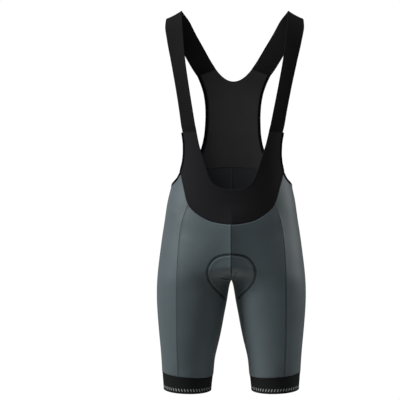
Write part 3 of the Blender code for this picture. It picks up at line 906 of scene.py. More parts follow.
# Airy back mesh with pores 1.6 apart. It is coloured lighter than the other black cloth as painted
# light, so that its shaded inner face shows as brightly as if it were lit.
BACK_MESH = Knit("back_mesh_painted_light", "#2e2e2f", 0.85, 0.04, 0.03, 0.6, 1.6, 1.6, 0.16, 0.04, 40, 0.45)
# Woven elastic for the straps, ribbed lengthwise.
ELASTIC = Knit("ribbed_elastic", "#1b1b1c", 0.85, 0.03, 0.0, 0.5, 1.5, 6.0, 0.18, 0.03, 30, 0.15)
# Folded edge elastic for the bindings, the blackest cloth of the garment.
EDGE_ELASTIC = Knit("edge_elastic", "#0c0c0d", 0.9, 0.0, 0.0, 0.5, 1.5, 3.0, 0.1, 0.02, 30, 0.1)
# Raw-cut gripper band: dense black power knit.
GRIPPER = Knit("gripper_knit", "#1c1d1e", 0.72, 0.07, 0.01, 0.5, 1.2, 1.2, 0.1, 0.03, 30, 0.1)
# Brushed green knit, moulded on with the foam, and paler where it is pressed thin; its sunk channel
# and pores are darkened as painted shade.
PAD_KNIT = FoamPad("moulded_pad_knit", "#0f9a5f", "#17a868", "#74bf85")
# Bulky polyester sewing thread, spun.
DARK_THREAD = PlainFinish("dark_thread", "#0f1315", 0.7, 0.2, 0.6, 0.15)
GREY_THREAD = PlainFinish("grey_thread", "#3f4746", 0.7, 0.2, 0.6, 0.15)
BLACK_THREAD = PlainFinish("black_thread", "#0f0f10", 0.7, 0.15, 0.6, 0.15)
# Heat-bonded reflective print, grey where no beam meets it.
REFLECTIVE_PRINT = PlainFinish("reflective_print", "#8d9090", 0.5, 0.4, 0.4, 0.12)
# Painted studio floor.
STUDIO_FLOOR = PlainFinish("studio_floor", "#e6e6e4", 0.9, 0.1, 30, 0.01)


# ---------------------------------------------------------------- the bib's and panels' lines


@dataclass(frozen=True)
class BibRow:
    """A line across the bib front, from its inner edge to its outer edge, as (x, z) pairs."""

    inner_x: float
    inner_z: float
    outer_x: float
    outer_z: float


@dataclass(frozen=True)
class Pattern:
    """The lines along which the cloth is cut, shared by the pieces that meet there."""

    # The band's top line and the hem at a leg's front and back, and their rise to its outer side
    band_top: float = -840.0
    band_rise: float = 4.9
    hem: float = -878.5
    hem_rise: float = 1.8
    # The bib back's lower seam rises to the middle, and its neck drops
    back_seam_rise: float = 10.5
    neck_drop: float = 29.7
    arm: tuple[BibRow, ...] = (
        BibRow(82.0, -281, 114.4, -281),
        BibRow(76.0, -308, 110.4, -309),
        BibRow(70.5, -327, 110.0, -327),
        BibRow(65.5, -342, 111.9, -348),
        BibRow(58.5, -364, 115.0, -361),
    )
    apex: BibRow = BibRow(50.5, -385, 117.3, -373.5)
    bib_hem: tuple[BibRow, ...] = (
        BibRow(43.0, -396.5, 109.5, -407.5),
        BibRow(33.0, -404.0, 97.5, -446.0),
        BibRow(21.0, -408.5, 71.5, -471.0),
        BibRow(11.0, -411.0, 40.0, -485.0),
        BibRow(0.0, -411.5, 0.0, -490.0),
    )
    seam_row: int = 2
    # (height, x) down the front side seam
    side_seam: Places = (
        *((-465, 105.5), (-486, 112.0), (-525, 118.0), (-565, 121.0)),
        *((-627, 123.0), (-742, 123.5), (-834, 120.5), (-878, 118.0)),
    )
    # (height, x) up the bib back's side
    back_side: Places = (
        *((-364.5, 94.8), (-330, 79.3), (-298, 69.0), (-268, 64.4), (-232, 63.0)),
        *((-210, 63.8), (-180, 67.8), (-152, 76.3), (-131, 85.5)),
    )
    neck_end: Span = (-115, 44.0)
    # The front side seam holds the cloth out, less over the hips, with (start, length) of its
    # fades: down from the bib, up from the band, and down from the hips
    ridge: float = 4.2
    ridge_reach: float = 26.0
    ridge_hips: float = 0.7
    ridge_in: Span = (450.0, 40.0)
    ridge_out: float = 45.0
    ridge_full: Span = (540.0, 60.0)
    # (turn in degrees, height) round the side's bound edge
    waist_edge: Places = ((63, -388), (72, -396), (90, -403), (110, -400), (127, -385))

    @property
    def apex_place(self) -> int:
        """The bib line's place at the apex, where the arm's edge meets the hem."""
        return len(self.arm)

    @property
    def seam_place(self) -> int:
        """The place where the front side seam meets the hem."""
        return self.apex_place + self.seam_row

    @property
    def middle_place(self) -> int:
        """The place at the middle of the hem."""
        return self.apex_place + len(self.bib_hem)

    def bib_line(self, place: Array) -> Pair:
        """Return the bib front's inner and outer edge, (x, z), at places counted in table rows."""
        half = (*self.arm, self.apex, *self.bib_hem)
        other = (BibRow(-r.inner_x, r.inner_z, -r.outer_x, r.outer_z) for r in half[-2::-1])
        rows = (*half, *other)
        names = ("inner_x", "inner_z", "outer_x", "outer_z")
        columns = [curve(place, np.arange(len(rows)), column(rows, name)) for name in names]
        return np.stack(columns[:2], axis=-1), np.stack(columns[2:], axis=-1)

    def side_seam_turn(self, height: Array) -> Array:
        """Return the turn of the front side seam at these heights."""
        _, top = self.bib_line(np.array([float(self.seam_place)]))
        rows = (*reversed(self.side_seam), (top[0, 1], top[0, 0]))
        return FORM.turn_at(curve(height, *zip(*rows)), height)

    def behind_seam_turn(self, height: Array) -> Array:
        """Return the turn a seam's gap behind the front side seam."""
        turn = self.side_seam_turn(height)
        return turn + SEAM_GAP / np.linalg.norm(FORM.directions(turn, height)[0], axis=-1)

    def band_line(self, turn: Array) -> Array:
        """Return the height at which a leg panel ends and its band begins."""
        return self.band_top + self.band_rise * np.sin(turn)

    def hem_line(self, turn: Array) -> Array:
        """Return the height of the band's lower edge."""
        return self.hem + self.hem_rise * np.sin(turn)

    def seam_ridge(self, distance: Array, height: Array) -> Array:
        """Return how far the side seam holds the cloth out: ridge * exp(-distance / ridge_reach).

        It is slighter over the hips, and fades out at both ends.
        """
        fade = soft_step(-height, *self.ridge_in)
        fade = fade * soft_step(height - self.band_top, self.band_rise, self.ridge_out)
        hips = self.ridge_hips + (1 - self.ridge_hips) * soft_step(-height, *self.ridge_full)
        return self.ridge * np.exp(-distance / self.ridge_reach) * fade * hips

    def back_side_x(self, height: Array) -> Array:
        """Return how far the bib back's side edge is from the middle of the body."""
        return curve(height, *zip(*self.back_side))

    @cached_property
    def back_corner(self) -> Span:
        """The turn and height of the bib back's lower corner."""
        height, x = self.back_side[0]
        return pi - float(FORM.turn_at(x, height)), height

    def hem_stations(self, front: int, apex: int) -> tuple[Array, Array, Array]:
        """Return (place, turn, height) along the hem from the middle to the apex."""
        forward = blend(self.middle_place, self.seam_place, graded(front))
        behind = np.linspace(self.seam_place, self.apex_place, apex + 1)[1:]
        places = np.concatenate([forward, behind])
        _, outer = self.bib_line(places)
        return places, FORM.turn_at(outer[:, 0], outer[:, 1]), outer[:, 1]

    def waist_stations(self, count: int) -> Pair:
        """Return (turn, height) along the bound edge, from the apex to the bib back's corner."""
        corner_turn, corner_height = self.back_corner
        apex_turn = float(FORM.turn_at(self.apex.outer_x, self.apex.outer_z))
        turns = [apex_turn, *(radians(t) for t, _ in self.waist_edge), corner_turn]
        heights = [self.apex.outer_z, *(h for _, h in self.waist_edge), corner_height]
        turn = np.linspace(apex_turn, corner_turn, count + 1)
        return turn, curve(turn, turns, heights)

    def back_seam(self, share: Array) -> Pair:
        """Return (turn, height) along the bib back's lower seam, from its corner to the middle."""
        corner_turn, corner_height = self.back_corner
        turn = blend(corner_turn, float(FORM.last_turn(corner_height)), share)
        return turn, corner_height + self.back_seam_rise * (1 - (1 - share) ** 2)


PATTERN = Pattern()


# ---------------------------------------------------------------- the cloth pieces


@dataclass
class LegPanels:
    """The front leg panels, and the side and back panels in one piece each, in grey lycra."""

    finish: Material
    lining: Material
    wall: float = 1.6
    upper_rows: int = 110
    lower_rows: int = 80
    front_columns: int = 84
    apex_columns: int = 22
    waist_columns: int = 44
    back_columns: int = 50
    seam_hold: int = 4
    # How rows are spread above the crotch: shares of t and of t^upper_power
    upper_blend: Span = (0.35, 0.65)
    upper_power: float = 1.5
    # The cut of each panel, laid flat before it is stretched on, and its area in square metres
    front_cut: Span = (0.158, 0.425)
    front_area: float = 0.0462
    back_cut: Span = (0.338, 0.466)
    back_area: float = 0.1350

    def row_heights(self, top: Array, bottom: Array, seam_share: Array) -> Array:
        """Return the height of every grid point, from the top edge to the band.

        Above the crotch it is crotch + (top - crotch) * u^(1 + share), so that rows close up
        towards the crotch on the centre seam, which runs almost level there. Below, rows go down
        evenly and close up at the band.
        """
        t = np.linspace(0, 1, self.upper_rows + 1)[:, None]
        even, gathered = self.upper_blend
        up = 1 - (even * t + gathered * t**self.upper_power)
        above = blend(FORM.crotch, top, up ** (1 + seam_share))
        down = np.linspace(0, 1, self.lower_rows + 1)[1:, None]
        # The scale lets each half reach 0.5
        bend, scale = 1.2, 0.5**-0.2
        down = np.where(down < 0.5, down**bend * scale, 1 - (1 - down) ** bend * scale)
        return np.concatenate([above, blend(FORM.crotch, bottom, down)])

    def grid(self, turn: Array, top: Array, side_seam: Seam, centre_seam: Seam) -> Pair:
        """Return (turn, height) of a panel whose columns start at these turns on its top edge.

        The column's turn is first + (even - first) * share + (last - even) * share^hold: only
        columns near the centre seam follow its fast turn just above the crotch.
        """
        share = (turn - side_seam(top)) / (centre_seam(top) - side_seam(top))
        start, end = (seam(np.array(PATTERN.band_top)) for seam in (side_seam, centre_seam))
        height = self.row_heights(top, PATTERN.band_line(blend(start, end, share)), share)
        above = np.clip((height - FORM.crotch) / (top - FORM.crotch), 0, 1)
        last, crotch_turn = centre_seam(height), centre_seam(np.array(FORM.crotch))
        even = blend(crotch_turn, centre_seam(top), 1 - (1 - above) ** 2)
        return blend(side_seam(height), even, share) + (last - even) * share**self.seam_hold, height

    def panel(
        self, name: str, node: str, turn: Array, height: Array, side: Side, seam_last: bool
    ) -> Object:
        """Make a panel, rolled in at its seams and raised along the side seam.

        Args:
            name, node: the piece's name, and its CAD node's.
            turn, height: the panel's grid.
            side: the side worn on.
            seam_last: whether the side seam is its last column, or its first.

        Returns:
            The piece.
        """
        across, along = runs(FORM.point(turn, height))
        ridge = PATTERN.seam_ridge(across[:, -1:] - across if seam_last else across, height)
        roll = seam_roll(across) + seam_roll(across[:, -1:] - across)
        roll = roll + seam_roll(along, 0.22) + seam_roll(along[-1:] - along, 0.2)
        wall = Wall.worn(laid(turn, height, side, self.wall, roll, ridge), side, across, along)
        made = wall.build(side.named(name), self.finish, lining=self.lining)
        return finished(made, "lycra_grey", side.named(node))

    def build(self, side: Side) -> None:
        """Make this side's two panels."""
        _, turn, top = PATTERN.hem_stations(self.front_columns, self.apex_columns)
        turn[0] = FORM.first_turn(top[0])
        front = slice(None, self.front_columns + 1)
        grid = self.grid(turn[front], top[front], PATTERN.side_seam_turn, FORM.first_turn)
        panel = self.panel("front_leg_cloth", "front_panel", *grid, side, True)

        waist = PATTERN.waist_stations(self.waist_columns)
        back = PATTERN.back_seam(np.linspace(0, 1, self.back_columns + 1))
        turn, top = (
            np.concatenate([hem[self.front_columns :], side_edge[1:], back_edge[1:]])
            for hem, side_edge, back_edge in zip((turn, top), waist, back)
        )
        turn[0] = PATTERN.behind_seam_turn(top[:1])[0]
        grid = self.grid(turn, top, PATTERN.behind_seam_turn, FORM.last_turn)
        panel = self.panel("side_and_seat_cloth", "back_panel", *grid, side, False)


@dataclass
class LegBands:
    """The black gripper bands and the row of slanted dashes printed near their lower edge."""

    finish: Material
    print_finish: Material
    wall: float = 2.0
    step: float = 0.6
    columns: int = 180
    rows: int = 20
    rounding: float = 0.6
    # (height, width) of the flare at the hem and of the roll at the top
    flare: Span = (0.35, 3.0)
    roll: Span = (0.35, 1.0)
    dash: Bar = Bar(7.2, 2.6, 0.5)
    dash_height: float = 8.2  # from the lower edge to a dash's middle
    dash_pitch: float = 7.0
    dash_slant: float = 22.0  # degrees from upright
    cut: Span = (0.335, 0.040)

    def build(self, side: Side) -> None:
        """Make this side's band, a ring that flares a little at the hem and rolls in at the top."""
        turn = np.linspace(0, 2 * pi, self.columns, endpoint=False)[None, :]
        top, bottom = PATTERN.band_line(turn) - SEAM_GAP, PATTERN.hem_line(turn)
        height = blend(top, bottom, graded(self.rows, gather=0.6)[:, None])
        turn, height = np.broadcast_arrays(turn, height)
        flat = FORM.point(turn, height)
        across = lengths(np.concatenate([flat, flat[:, :1]], axis=1))
        along = runs(flat)[1][:, :1]
        (rise, rise_width), (roll, roll_width) = self.flare, self.roll
        flare = rise * bell(along - along[-1, 0], rise_width) - roll * bell(along, roll_width)
        grids = laid(turn, height, side, self.wall, -self.step + flare)
        wall = Wall.worn(grids, side, across, np.broadcast_to(along, across.shape), True)
        band = wall.build(side.named("gripper_band"), self.finish, self.rounding)
        finished(band, "band_black", side.named("leg_band"))
        self.build_dashes(side)

    def build_dashes(self, side: Side) -> None:
        """Make the dashes, evenly spaced round the band and slanted from upright."""
        ring_turn = np.linspace(0, 2 * pi, 361)
        level = PATTERN.hem_line(ring_turn) + self.dash_height
        ring, _ = laid(ring_turn, level, side, self.wall, -self.step)
        run = lengths(ring)
        count = round(run[-1] / self.dash_pitch)
        at = np.interp((np.arange(count) + 0.5) / count * run[-1], run, ring_turn)
        level = PATTERN.hem_line(at) + self.dash_height
        middle, _ = laid(at, level, side, self.wall, -self.step)
        by_turn, by_height = (unit(way) for way in FORM.directions(at, level))
        lean = radians(self.dash_slant)
        heading = by_height * cos(lean) + by_turn * sin(lean)
        dashes = self.dash.rows(middle, heading, FORM.normal(at, level))
        build_bars(side.named("hem_dashes"), dashes, side, self.print_finish, "band_black")


@dataclass
class Bib:
    """The black bib front with its scooped neck and U-shaped hem, and the bib back."""

    front_finish: Material
    back_finish: Material
    wall: float = 1.6
    arm_rows: int = 40
    hem_columns: int = 44
    apex_columns: int = 22
    across: int = 30
    front_edge: float = 6.0
    back_rows: int = 110
    seam_columns: int = 16
    neck_columns: int = 22
    back_edge: float = 7.0
    front_cut: Span = (0.235, 0.205)
    front_area: float = 0.0262
    back_cut: Span = (0.185, 0.240)
    back_area: float = 0.0300

    def build_front(self) -> None:
        """Make the bib front from lines across it, its right half mirrored."""
        arm = np.linspace(0, PATTERN.apex_place, self.arm_rows + 1)
        hem, _, _ = PATTERN.hem_stations(self.hem_columns, self.apex_columns)
        half = np.concatenate([arm[:-1], hem[::-1]])
        last = 2 * PATTERN.middle_place
        place = np.concatenate([half, last - half[-2::-1]])
        inner_edge, outer_edge = PATTERN.bib_line(place)
        on_hem = (place >= PATTERN.apex_place) & (place <= last - PATTERN.apex_place)
        gap = np.where(on_hem, SEAM_GAP, 0)[:, None]
        outer_edge = outer_edge + unit(inner_edge - outer_edge) * gap
        flat = blend(inner_edge, outer_edge, graded(self.across, gather=0.6)[:, None, None])
        height = flat[..., 1]
        turn = FORM.turn_at(np.abs(flat[..., 0]), height)
        mirror = np.where(flat[..., :1] < 0, Side.RIGHT.mirror, 1.0)
        points = FORM.point(turn, height) * mirror
        edge = to_edge(runs(points)[1].T).T
        grids = laid(turn, height, Side.LEFT, self.wall, turned_edge(edge, self.front_edge))
        grids = [grid * mirror for grid in grids]
        wall = Wall.worn(grids, Side.LEFT, points[..., 0], points[..., 2])
        made = finished(wall.build("bib_front_cloth", self.front_finish), "bib_black", "bib_front")

    def back_grid(self) -> Pair:
        """Return (turn, height) of half of the bib back, from its side edge to the middle."""
        (outer_z, outer_x), (inner_z, inner_x) = PATTERN.back_side[-1], PATTERN.neck_end
        share = graded(self.seam_columns, gather=0.7)
        neck_x = inner_x * (1 - np.linspace(0, 1, self.neck_columns + 1)[1:])
        neck_z = inner_z - PATTERN.neck_drop * (1 - (neck_x / inner_x) ** 2)
        top_x = np.concatenate([blend(outer_x, inner_x, share), neck_x])
        top_z = np.concatenate([blend(outer_z, inner_z, share), neck_z])
        seam_turn, bottom_z = PATTERN.back_seam(1 - top_x / top_x[0])
        bottom_z = bottom_z + SEAM_GAP
        bottom_x = FORM.point(seam_turn, bottom_z)[:, 0]
        bottom_x[-1] = 0.0
        down = graded(self.back_rows, gather=0.5)[:, None]
        height = blend(top_z, bottom_z, down)
        spread = top_x / top_x[0] * (1 - down) + bottom_x / bottom_x[0] * down
        return pi - FORM.turn_at(PATTERN.back_side_x(height[:, :1]) * spread, height), height

    def build_back(self) -> None:
        """Make the bib back from its left half and the mirrored right half."""
        turn, height = self.back_grid()
        relief = turned_edge(np.minimum(*runs(FORM.point(turn, height))), self.back_edge)
        left, right = (laid(turn, height, side, self.wall, relief) for side in Side)
        grids = [
            np.concatenate([a, (b * Side.RIGHT.mirror)[:, -2::-1]], axis=1)
            for a, b in zip(left, right)
        ]
        wall = Wall.worn(grids, Side.LEFT, 0, 0)
        wall.across, wall.along = wall.outer[..., 0] / MM, wall.outer[..., 2] / MM
        made = finished(wall.build("bib_back_cloth", self.back_finish), "bib_black", "bib_back")


@dataclass
class Straps:
    """The shoulder straps, from the chest over the shoulder to the shoulder blade."""

    finish: Material
    wall: float = 1.6
    settling: float = 18.0
    crown: float = 1.2
    # (rise, distance from the edge, width) of the turned elastic's ridge
    ridge: Triple = (0.2, 2.5, 1.6)
    rows: int = 220
    columns: int = 18
    # x of the outer and the inner edge at the two seams
    front_end: Span = (114.8, 82.0)
    back_end: Span = (89.8, 44.0)
    # Lines across the strap: its outer and its inner edge as (x, y, z), from the chest to the back
    table: tuple = (
        ((123.4, -69, -226), (92.0, -91, -226)),
        ((133.1, -66, -172), (101.8, -88, -171)),
        ((144.2, -58, -118), (111.0, -77, -114)),
        ((154.6, -47, -70), (117.0, -60, -62)),
        ((160.9, -30, -32), (121.5, -38, -17)),
        ((160.4, 0, -11), (124.0, -1, 8.3)),
        ((147.0, 32, -33), (110.0, 34, -6)),
        ((130.0, 52, -67), (92.5, 58, -36)),
        ((112.0, 65, -99), (73.0, 75, -68)),
        ((98.0, 73, -121.5), (57.5, 85, -94)),
    )
    cut: Span = (0.042, 0.430)

    def seam_line(self, ends: Span, heights: Span, back: bool) -> Array:
        """Return the line across a strap where it is sewn to the bib."""
        share = np.linspace(0, 1, self.columns + 1)
        x, z = blend(*ends, share), blend(*heights, share)
        turn = FORM.turn_at(x, z)
        return FORM.point(pi - turn if back else turn, z)

    def surface(self) -> Array:
        """Return the grid of the strap's line.

        Lines across are straight between the edges of each row with a crown of 4 s (1 - s), and a
        curve without overshoot joins them along the strap.
        """
        share = np.linspace(0, 1, self.columns + 1)[:, None]
        front_z = PATTERN.arm[0].outer_z + SEAM_GAP
        first = self.seam_line(self.front_end, (front_z, front_z), False)
        (corner_z, corner_x), (neck_z, neck_x) = PATTERN.back_side[-1], PATTERN.neck_end
        slope = (neck_z - corner_z) / (neck_x - corner_x)
        seam_z = (corner_z + slope * (self.back_end[0] - corner_x) + SEAM_GAP, neck_z + SEAM_GAP)
        last = self.seam_line(self.back_end, seam_z, True)
        lines = np.array([first, *(blend(*row, share) for row in np.array(self.table)), last])
        along = np.gradient(lines.mean(axis=1), axis=0)[:, None]
        crown = unit(np.cross(along, lines[:, -1:] - lines[:, :1]))
        crown[[0, -1]] = 0
        lines = lines - crown * self.crown * (4 * share * (1 - share))[None]
        places = lengths(lines.mean(axis=1))
        at = places[-1] * graded(self.rows, gather=0.3)
        flat = lines.reshape(len(lines), -1)
        read = np.stack([curve(at, places, values) for values in flat.T], axis=-1)
        return read.reshape(len(at), -1, 3)

    def build(self, side: Side) -> None:
        """Make this side's strap, with a ridge along each edge where the elastic is turned.

        It stands a wall's thickness off the rows of the table, and comes down to the bib at its
        seams.
        """
        grid = self.surface()
        normals = unit(np.cross(np.gradient(grid, axis=0), np.gradient(grid, axis=1)))
        across, along = runs(grid)
        edge, end = to_edge(across), to_edge(along.T).T
        rise, place, width = self.ridge
        relief = rise * bell(edge - place, width) - rolled_in(edge)
        relief = relief + self.wall * soft_step(end, 0.0, self.settling)
        outer = grid + normals * relief[..., None]
        wall = Wall.worn((outer, outer - normals * self.wall), side, across, along)
        made = wall.build(side.named("shoulder_strap"), self.finish)
        finished(made, "bib_black", side.named("strap"))


@dataclass
class EdgeBindings:
    """The narrow black elastic round each arm opening."""

    finish: Material
    width: float = 4.5
    lap: float = 2.4
    proud: float = 0.3
    bulge: float = 0.35
    wall: float = 2.6
    rounding: float = 0.6
    arm_rows: int = 40
    waist_columns: int = 60
    back_rows: int = 90
    across: int = 8
    # Folded over the edge, and cut shorter than it
    cut: Span = (0.014, 0.455)

    def path(self) -> Pair:
        """Return (turn, height) down the bib front's edge, round the waist and up the back."""
        _, arm = PATTERN.bib_line(np.linspace(0, PATTERN.apex_place, self.arm_rows + 1))
        waist_turn, waist_height = PATTERN.waist_stations(self.waist_columns)
        top, bottom = PATTERN.back_side[-1][0], PATTERN.back_side[0][0] + SEAM_GAP
        back_height = blend(bottom, top, np.linspace(0, 1, self.back_rows + 1)[1:])
        back_turn = pi - FORM.turn_at(PATTERN.back_side_x(back_height), back_height)
        turn = np.concatenate([FORM.turn_at(arm[:, 0], arm[:, 1]), waist_turn[1:], back_turn])
        return turn, np.concatenate([arm[:, 1], waist_height[1:], back_height])

    def build(self, side: Side) -> None:
        """Make this side's binding, a strip folded round the edge and standing past it.

        Its cross-section bulges by a half sine over the width.
        """
        turn, height = self.path()
        reach = np.linalg.norm(FORM.directions(turn, height)[0], axis=-1)
        run, rise = np.gradient(turn) * reach, np.gradient(height)
        length = np.hypot(run, rise)
        share = graded(self.across, gather=0.7)[:, None]
        out = -self.lap + (self.width + self.lap) * share
        grid = turn + -rise / length * out / reach, height + run / length * out
        bulge = self.proud + self.bulge * np.sin(pi * share) + 0 * grid[0]
        along = np.broadcast_to(lengths(FORM.point(turn, height)), bulge.shape)
        wall = Wall.worn(laid(*grid, side, self.wall, bulge), side, out + 0 * along, along)
        made = wall.build(side.named("edge_binding"), self.finish, self.rounding)
        finished(made, "binding_black", side.named("side_binding"))


@dataclass(frozen=True)
class PadRow:
    """A line across the pad at a place along the crotch seam, counted backwards from the crotch."""

    place: float
    half_width: float
    thickness: float


@dataclass
class SeatPad:
    """The moulded seat pad inside the crotch, with its channel, pores and ribs.

    clear is its distance to the cloth's outside, edge its thickness at the rim, and fold how far
    from the middle its underside turns from upright to square with the cloth.
    """

    finish: Material
    clear: float = 3.6
    edge: float = 2.2
    fold: float = 20.0
    rows: int = 300
    half_columns: int = 60
    coarse_rows: int = 34
    coarse_columns: int = 7
    seam_rise: float = 170.0
    channel_half: float = 17.0
    channel_deep: float = 3.2
    rib_pitch: float = 6.0
    arc_pitch: float = 6.5
    pore_pitch: float = 5.2
    fill: float = 0.8
    # The relief starts where the pad is this thick, and is whole so much further on
    relief_from: float = 1.5
    relief_over: float = 4.0
    swell_power: float = 0.7
    # How deep the ribs behind, the arcs in front and the pores are pressed
    pressed: Triple = (0.7, 0.5, 0.8)
    # The tone of the plain face, and what the channel, the rim, ribs, arcs and pores add to it; the
    # darkening of the channel and the pores is painted shade
    tones: tuple[float, ...] = (0.42, -0.35, 0.5, 0.3, 0.25, -0.3)
    # The channel's sides slope over its bank, and it loses a share of its width
    bank: float = 4.0
    narrowing: float = 0.35
    rib_slant: float = 0.75
    arc_centre: float = -62.0
    # (start, length) of fades along the seam, aside from it, or over the share of the half width
    narrows: Span = (10, 70)
    channel_in: Span = (-112, 14)
    channel_out: Span = (62, 26)
    wings_aside: Span = (16, 8)
    wings_in: Span = (68, 22)
    wings_rim: Span = (0.72, 0.1)
    arcs_out: Span = (-66, 22)
    arcs_rim: Span = (0.55, 0.15)
    pore_size: Span = (0.45, 0.3)
    pores_out: Span = (-20, 20)
    rim: Span = (0.78, 0.2)
    table: tuple[PadRow, ...] = (
        PadRow(-131, 14, 3),
        PadRow(-124, 31, 4),
        PadRow(-110, 46, 5),
        PadRow(-92, 57, 6),
        PadRow(-65, 60, 7),
        PadRow(-35, 55, 8),
        PadRow(0, 50, 8),
        PadRow(30, 52, 9),
        PadRow(60, 66, 10),
        PadRow(90, 86, 11),
        PadRow(123, 98, 11),
        PadRow(155, 96, 10),
        PadRow(180, 78, 8),
        PadRow(196, 50, 5),
        PadRow(204, 18, 3),
    )

    def measure(self, name: str, place: Array) -> Array:
        """Return the half width or the thickness at these places."""
        return curve(place, column(self.table, "place"), column(self.table, name))

    def seam(self) -> tuple[Array, Array, Array]:
        """Return (turn, height, length) along the seam in the middle plane, front to back."""
        height = FORM.crotch + self.seam_rise * np.linspace(1, 0, 400) ** 2
        front = FORM.first_turn(height, x=0.0)
        turn = np.concatenate([front, (pi - front)[-2::-1]])
        both = np.concatenate([height, height[-2::-1]])
        run = lengths(FORM.point(turn, both))
        return turn, both, run - run[len(height) - 1]

    def walk(self, place: Array, distance: Array, steps: int) -> Pair:
        """Walk over the form from the seam, square to it and straight on.

        Each step moves along the heading, which is turned back into the surface by taking off its
        part along the normal.

        Args:
            place: where along the seam each walk starts.
            distance: how far each goes.
            steps: the number of steps.

        Returns:
            The turns and heights passed, (steps + 1, walks).
        """
        turns, heights, run = self.seam()
        turn, height = np.interp(place, run, turns), np.interp(place, run, heights)
        seam = FORM.point(turn, height)
        heading = np.cross(unit(np.gradient(seam, axis=0)), -FORM.normal(turn, height))
        heading = heading * np.sign(heading[:, :1])
        track = [(turn, height)]
        for _ in range(steps):
            ways = np.stack(FORM.directions(turn, height), axis=-1)
            normal = unit(np.cross(ways[..., 0], ways[..., 1]))
            heading = unit(heading - normal * (heading * normal).sum(-1, keepdims=True))
            moved = np.linalg.pinv(ways) @ (heading * (distance / steps)[:, None])[..., None]
            turn, height = turn + moved[:, 0, 0], height + moved[:, 1, 0]
            track.append((turn, height))
        turns, heights = (np.array(part) for part in zip(*track))
        return turns, heights

    def relief(self, across: Array, place: Array, share: Array) -> Pair:
        """Return the moulded relief and the tone of the pad's face.

        A channel sinks along the middle from the front to behind the crotch, with rows of pores at
        its front end. Arcs run round its front. Beside its end, chevron ribs follow place +
        rib_slant * |across|. The tone is lighter at the thin rim, and darker in the channel and the
        pores as painted shade.
        """
        aside = np.abs(across)
        width = self.channel_half * (1 - self.narrowing * soft_step(place, *self.narrows))
        channel = (1 - soft_step(aside, width, self.bank)) * soft_step(place, *self.channel_in)
        channel = channel * (1 - soft_step(place, *self.channel_out))
        wings = soft_step(aside, *self.wings_aside) * soft_step(place, *self.wings_in)
        wings = wings * (1 - soft_step(share, *self.wings_rim))
        front = (1 - soft_step(place, *self.arcs_out)) * (1 - soft_step(share, *self.arcs_rim))
        ribs = wings * wave(place + self.rib_slant * aside, self.rib_pitch)
        arcs = front * wave(np.hypot(across, place - self.arc_centre), self.arc_pitch)
        rows = np.cos(2 * pi * across / self.pore_pitch) * np.cos(2 * pi * place / self.pore_pitch)
        pores = soft_step(rows, *self.pore_size) * channel * (1 - soft_step(place, *self.pores_out))
        rib, arc, pore = self.pressed
        lift = -self.channel_deep * channel - rib * ribs - arc * arcs - pore * pores
        plain, sunk, thin, rib, arc, pore = self.tones
        # painted shade: sunk and pore darken the tone in the channel and the pores
        tone = plain + sunk * channel + thin * soft_step(share, *self.rim)
        return lift, np.clip(tone + rib * ribs + arc * arcs + pore * pores, 0, 1)

    def coarse_grids(self) -> list[Array]:
        """Return the underside and the face on the coarse grid of the solid, from edge to edge.

        The underside clears the cloth, and the face stands off it by
        edge + (thickness - edge) * (1 - s^2)^swell_power.
        """
        place = np.linspace(self.table[0].place, self.table[-1].place, self.coarse_rows + 1)
        half_width, thickness = (self.measure(name, place) for name in ("half_width", "thickness"))
        tracks = self.walk(place, half_width, 2 * self.coarse_columns)
        turn, height = (track[::2] for track in tracks)
        points, inwards = FORM.point(turn, height), -FORM.normal(turn, height)
        points[0, :, 0] = 0.0
        upright = unit(inwards[0] * np.array([0.0, 1.0, 1.0]))
        share = np.linspace(0, 1, self.coarse_columns + 1)[:, None]
        bend = soft_step(share * half_width / self.fold)[..., None]
        direction = unit(upright * (1 - bend) + inwards * bend)
        under = points + direction * self.clear / (direction * inwards).sum(-1, keepdims=True)
        swell = self.edge + (thickness - self.edge) * (1 - share**2) ** self.swell_power
        both = under, under + direction * swell[..., None]
        return [np.concatenate([(grid * Side.RIGHT.mirror)[:0:-1], grid]) for grid in both]

    def build(self) -> None:
        """Make the pad: smooth curves through the coarse grids give the fine ones."""
        wide = np.arange(2 * self.half_columns + 1) / self.half_columns - 1
        fine = graded(self.rows, gather=0.3)
        columns, rows = (wide + 1) * self.coarse_columns, fine * self.coarse_rows
        under, over = (
            spline(spline(grid, columns).swapaxes(0, 1), rows).swapaxes(0, 1)
            for grid in self.coarse_grids()
        )
        direction, swell = unit(over - under), np.linalg.norm(over - under, axis=-1)
        place = blend(self.table[0].place, self.table[-1].place, fine)
        half_width = self.measure("half_width", place)
        share = np.abs(wide)[:, None]
        across = share * half_width
        lift, tone = self.relief(across, place + 0 * across, share + 0 * across)
        full = np.clip((swell - self.relief_from) / self.relief_over, 0, 1)
        over = over + direction * (lift * full)[..., None]
        run = np.broadcast_to(place, across.shape)
        wall = Wall.worn((over, under), Side.LEFT, wide[:, None] * half_width, run)
        made = wall.build("seat_pad_foam", self.finish, 0.0)
        tones = np.concatenate([tone.ravel(), np.full(tone.size, 0.3)]).astype(np.float32)
        made.data.attributes.new("tone", "FLOAT", "POINT").data.foreach_set("value", tones)
        finished(made, "pad_green", "seat_pad")


# ---------------------------------------------------------------- the sewing


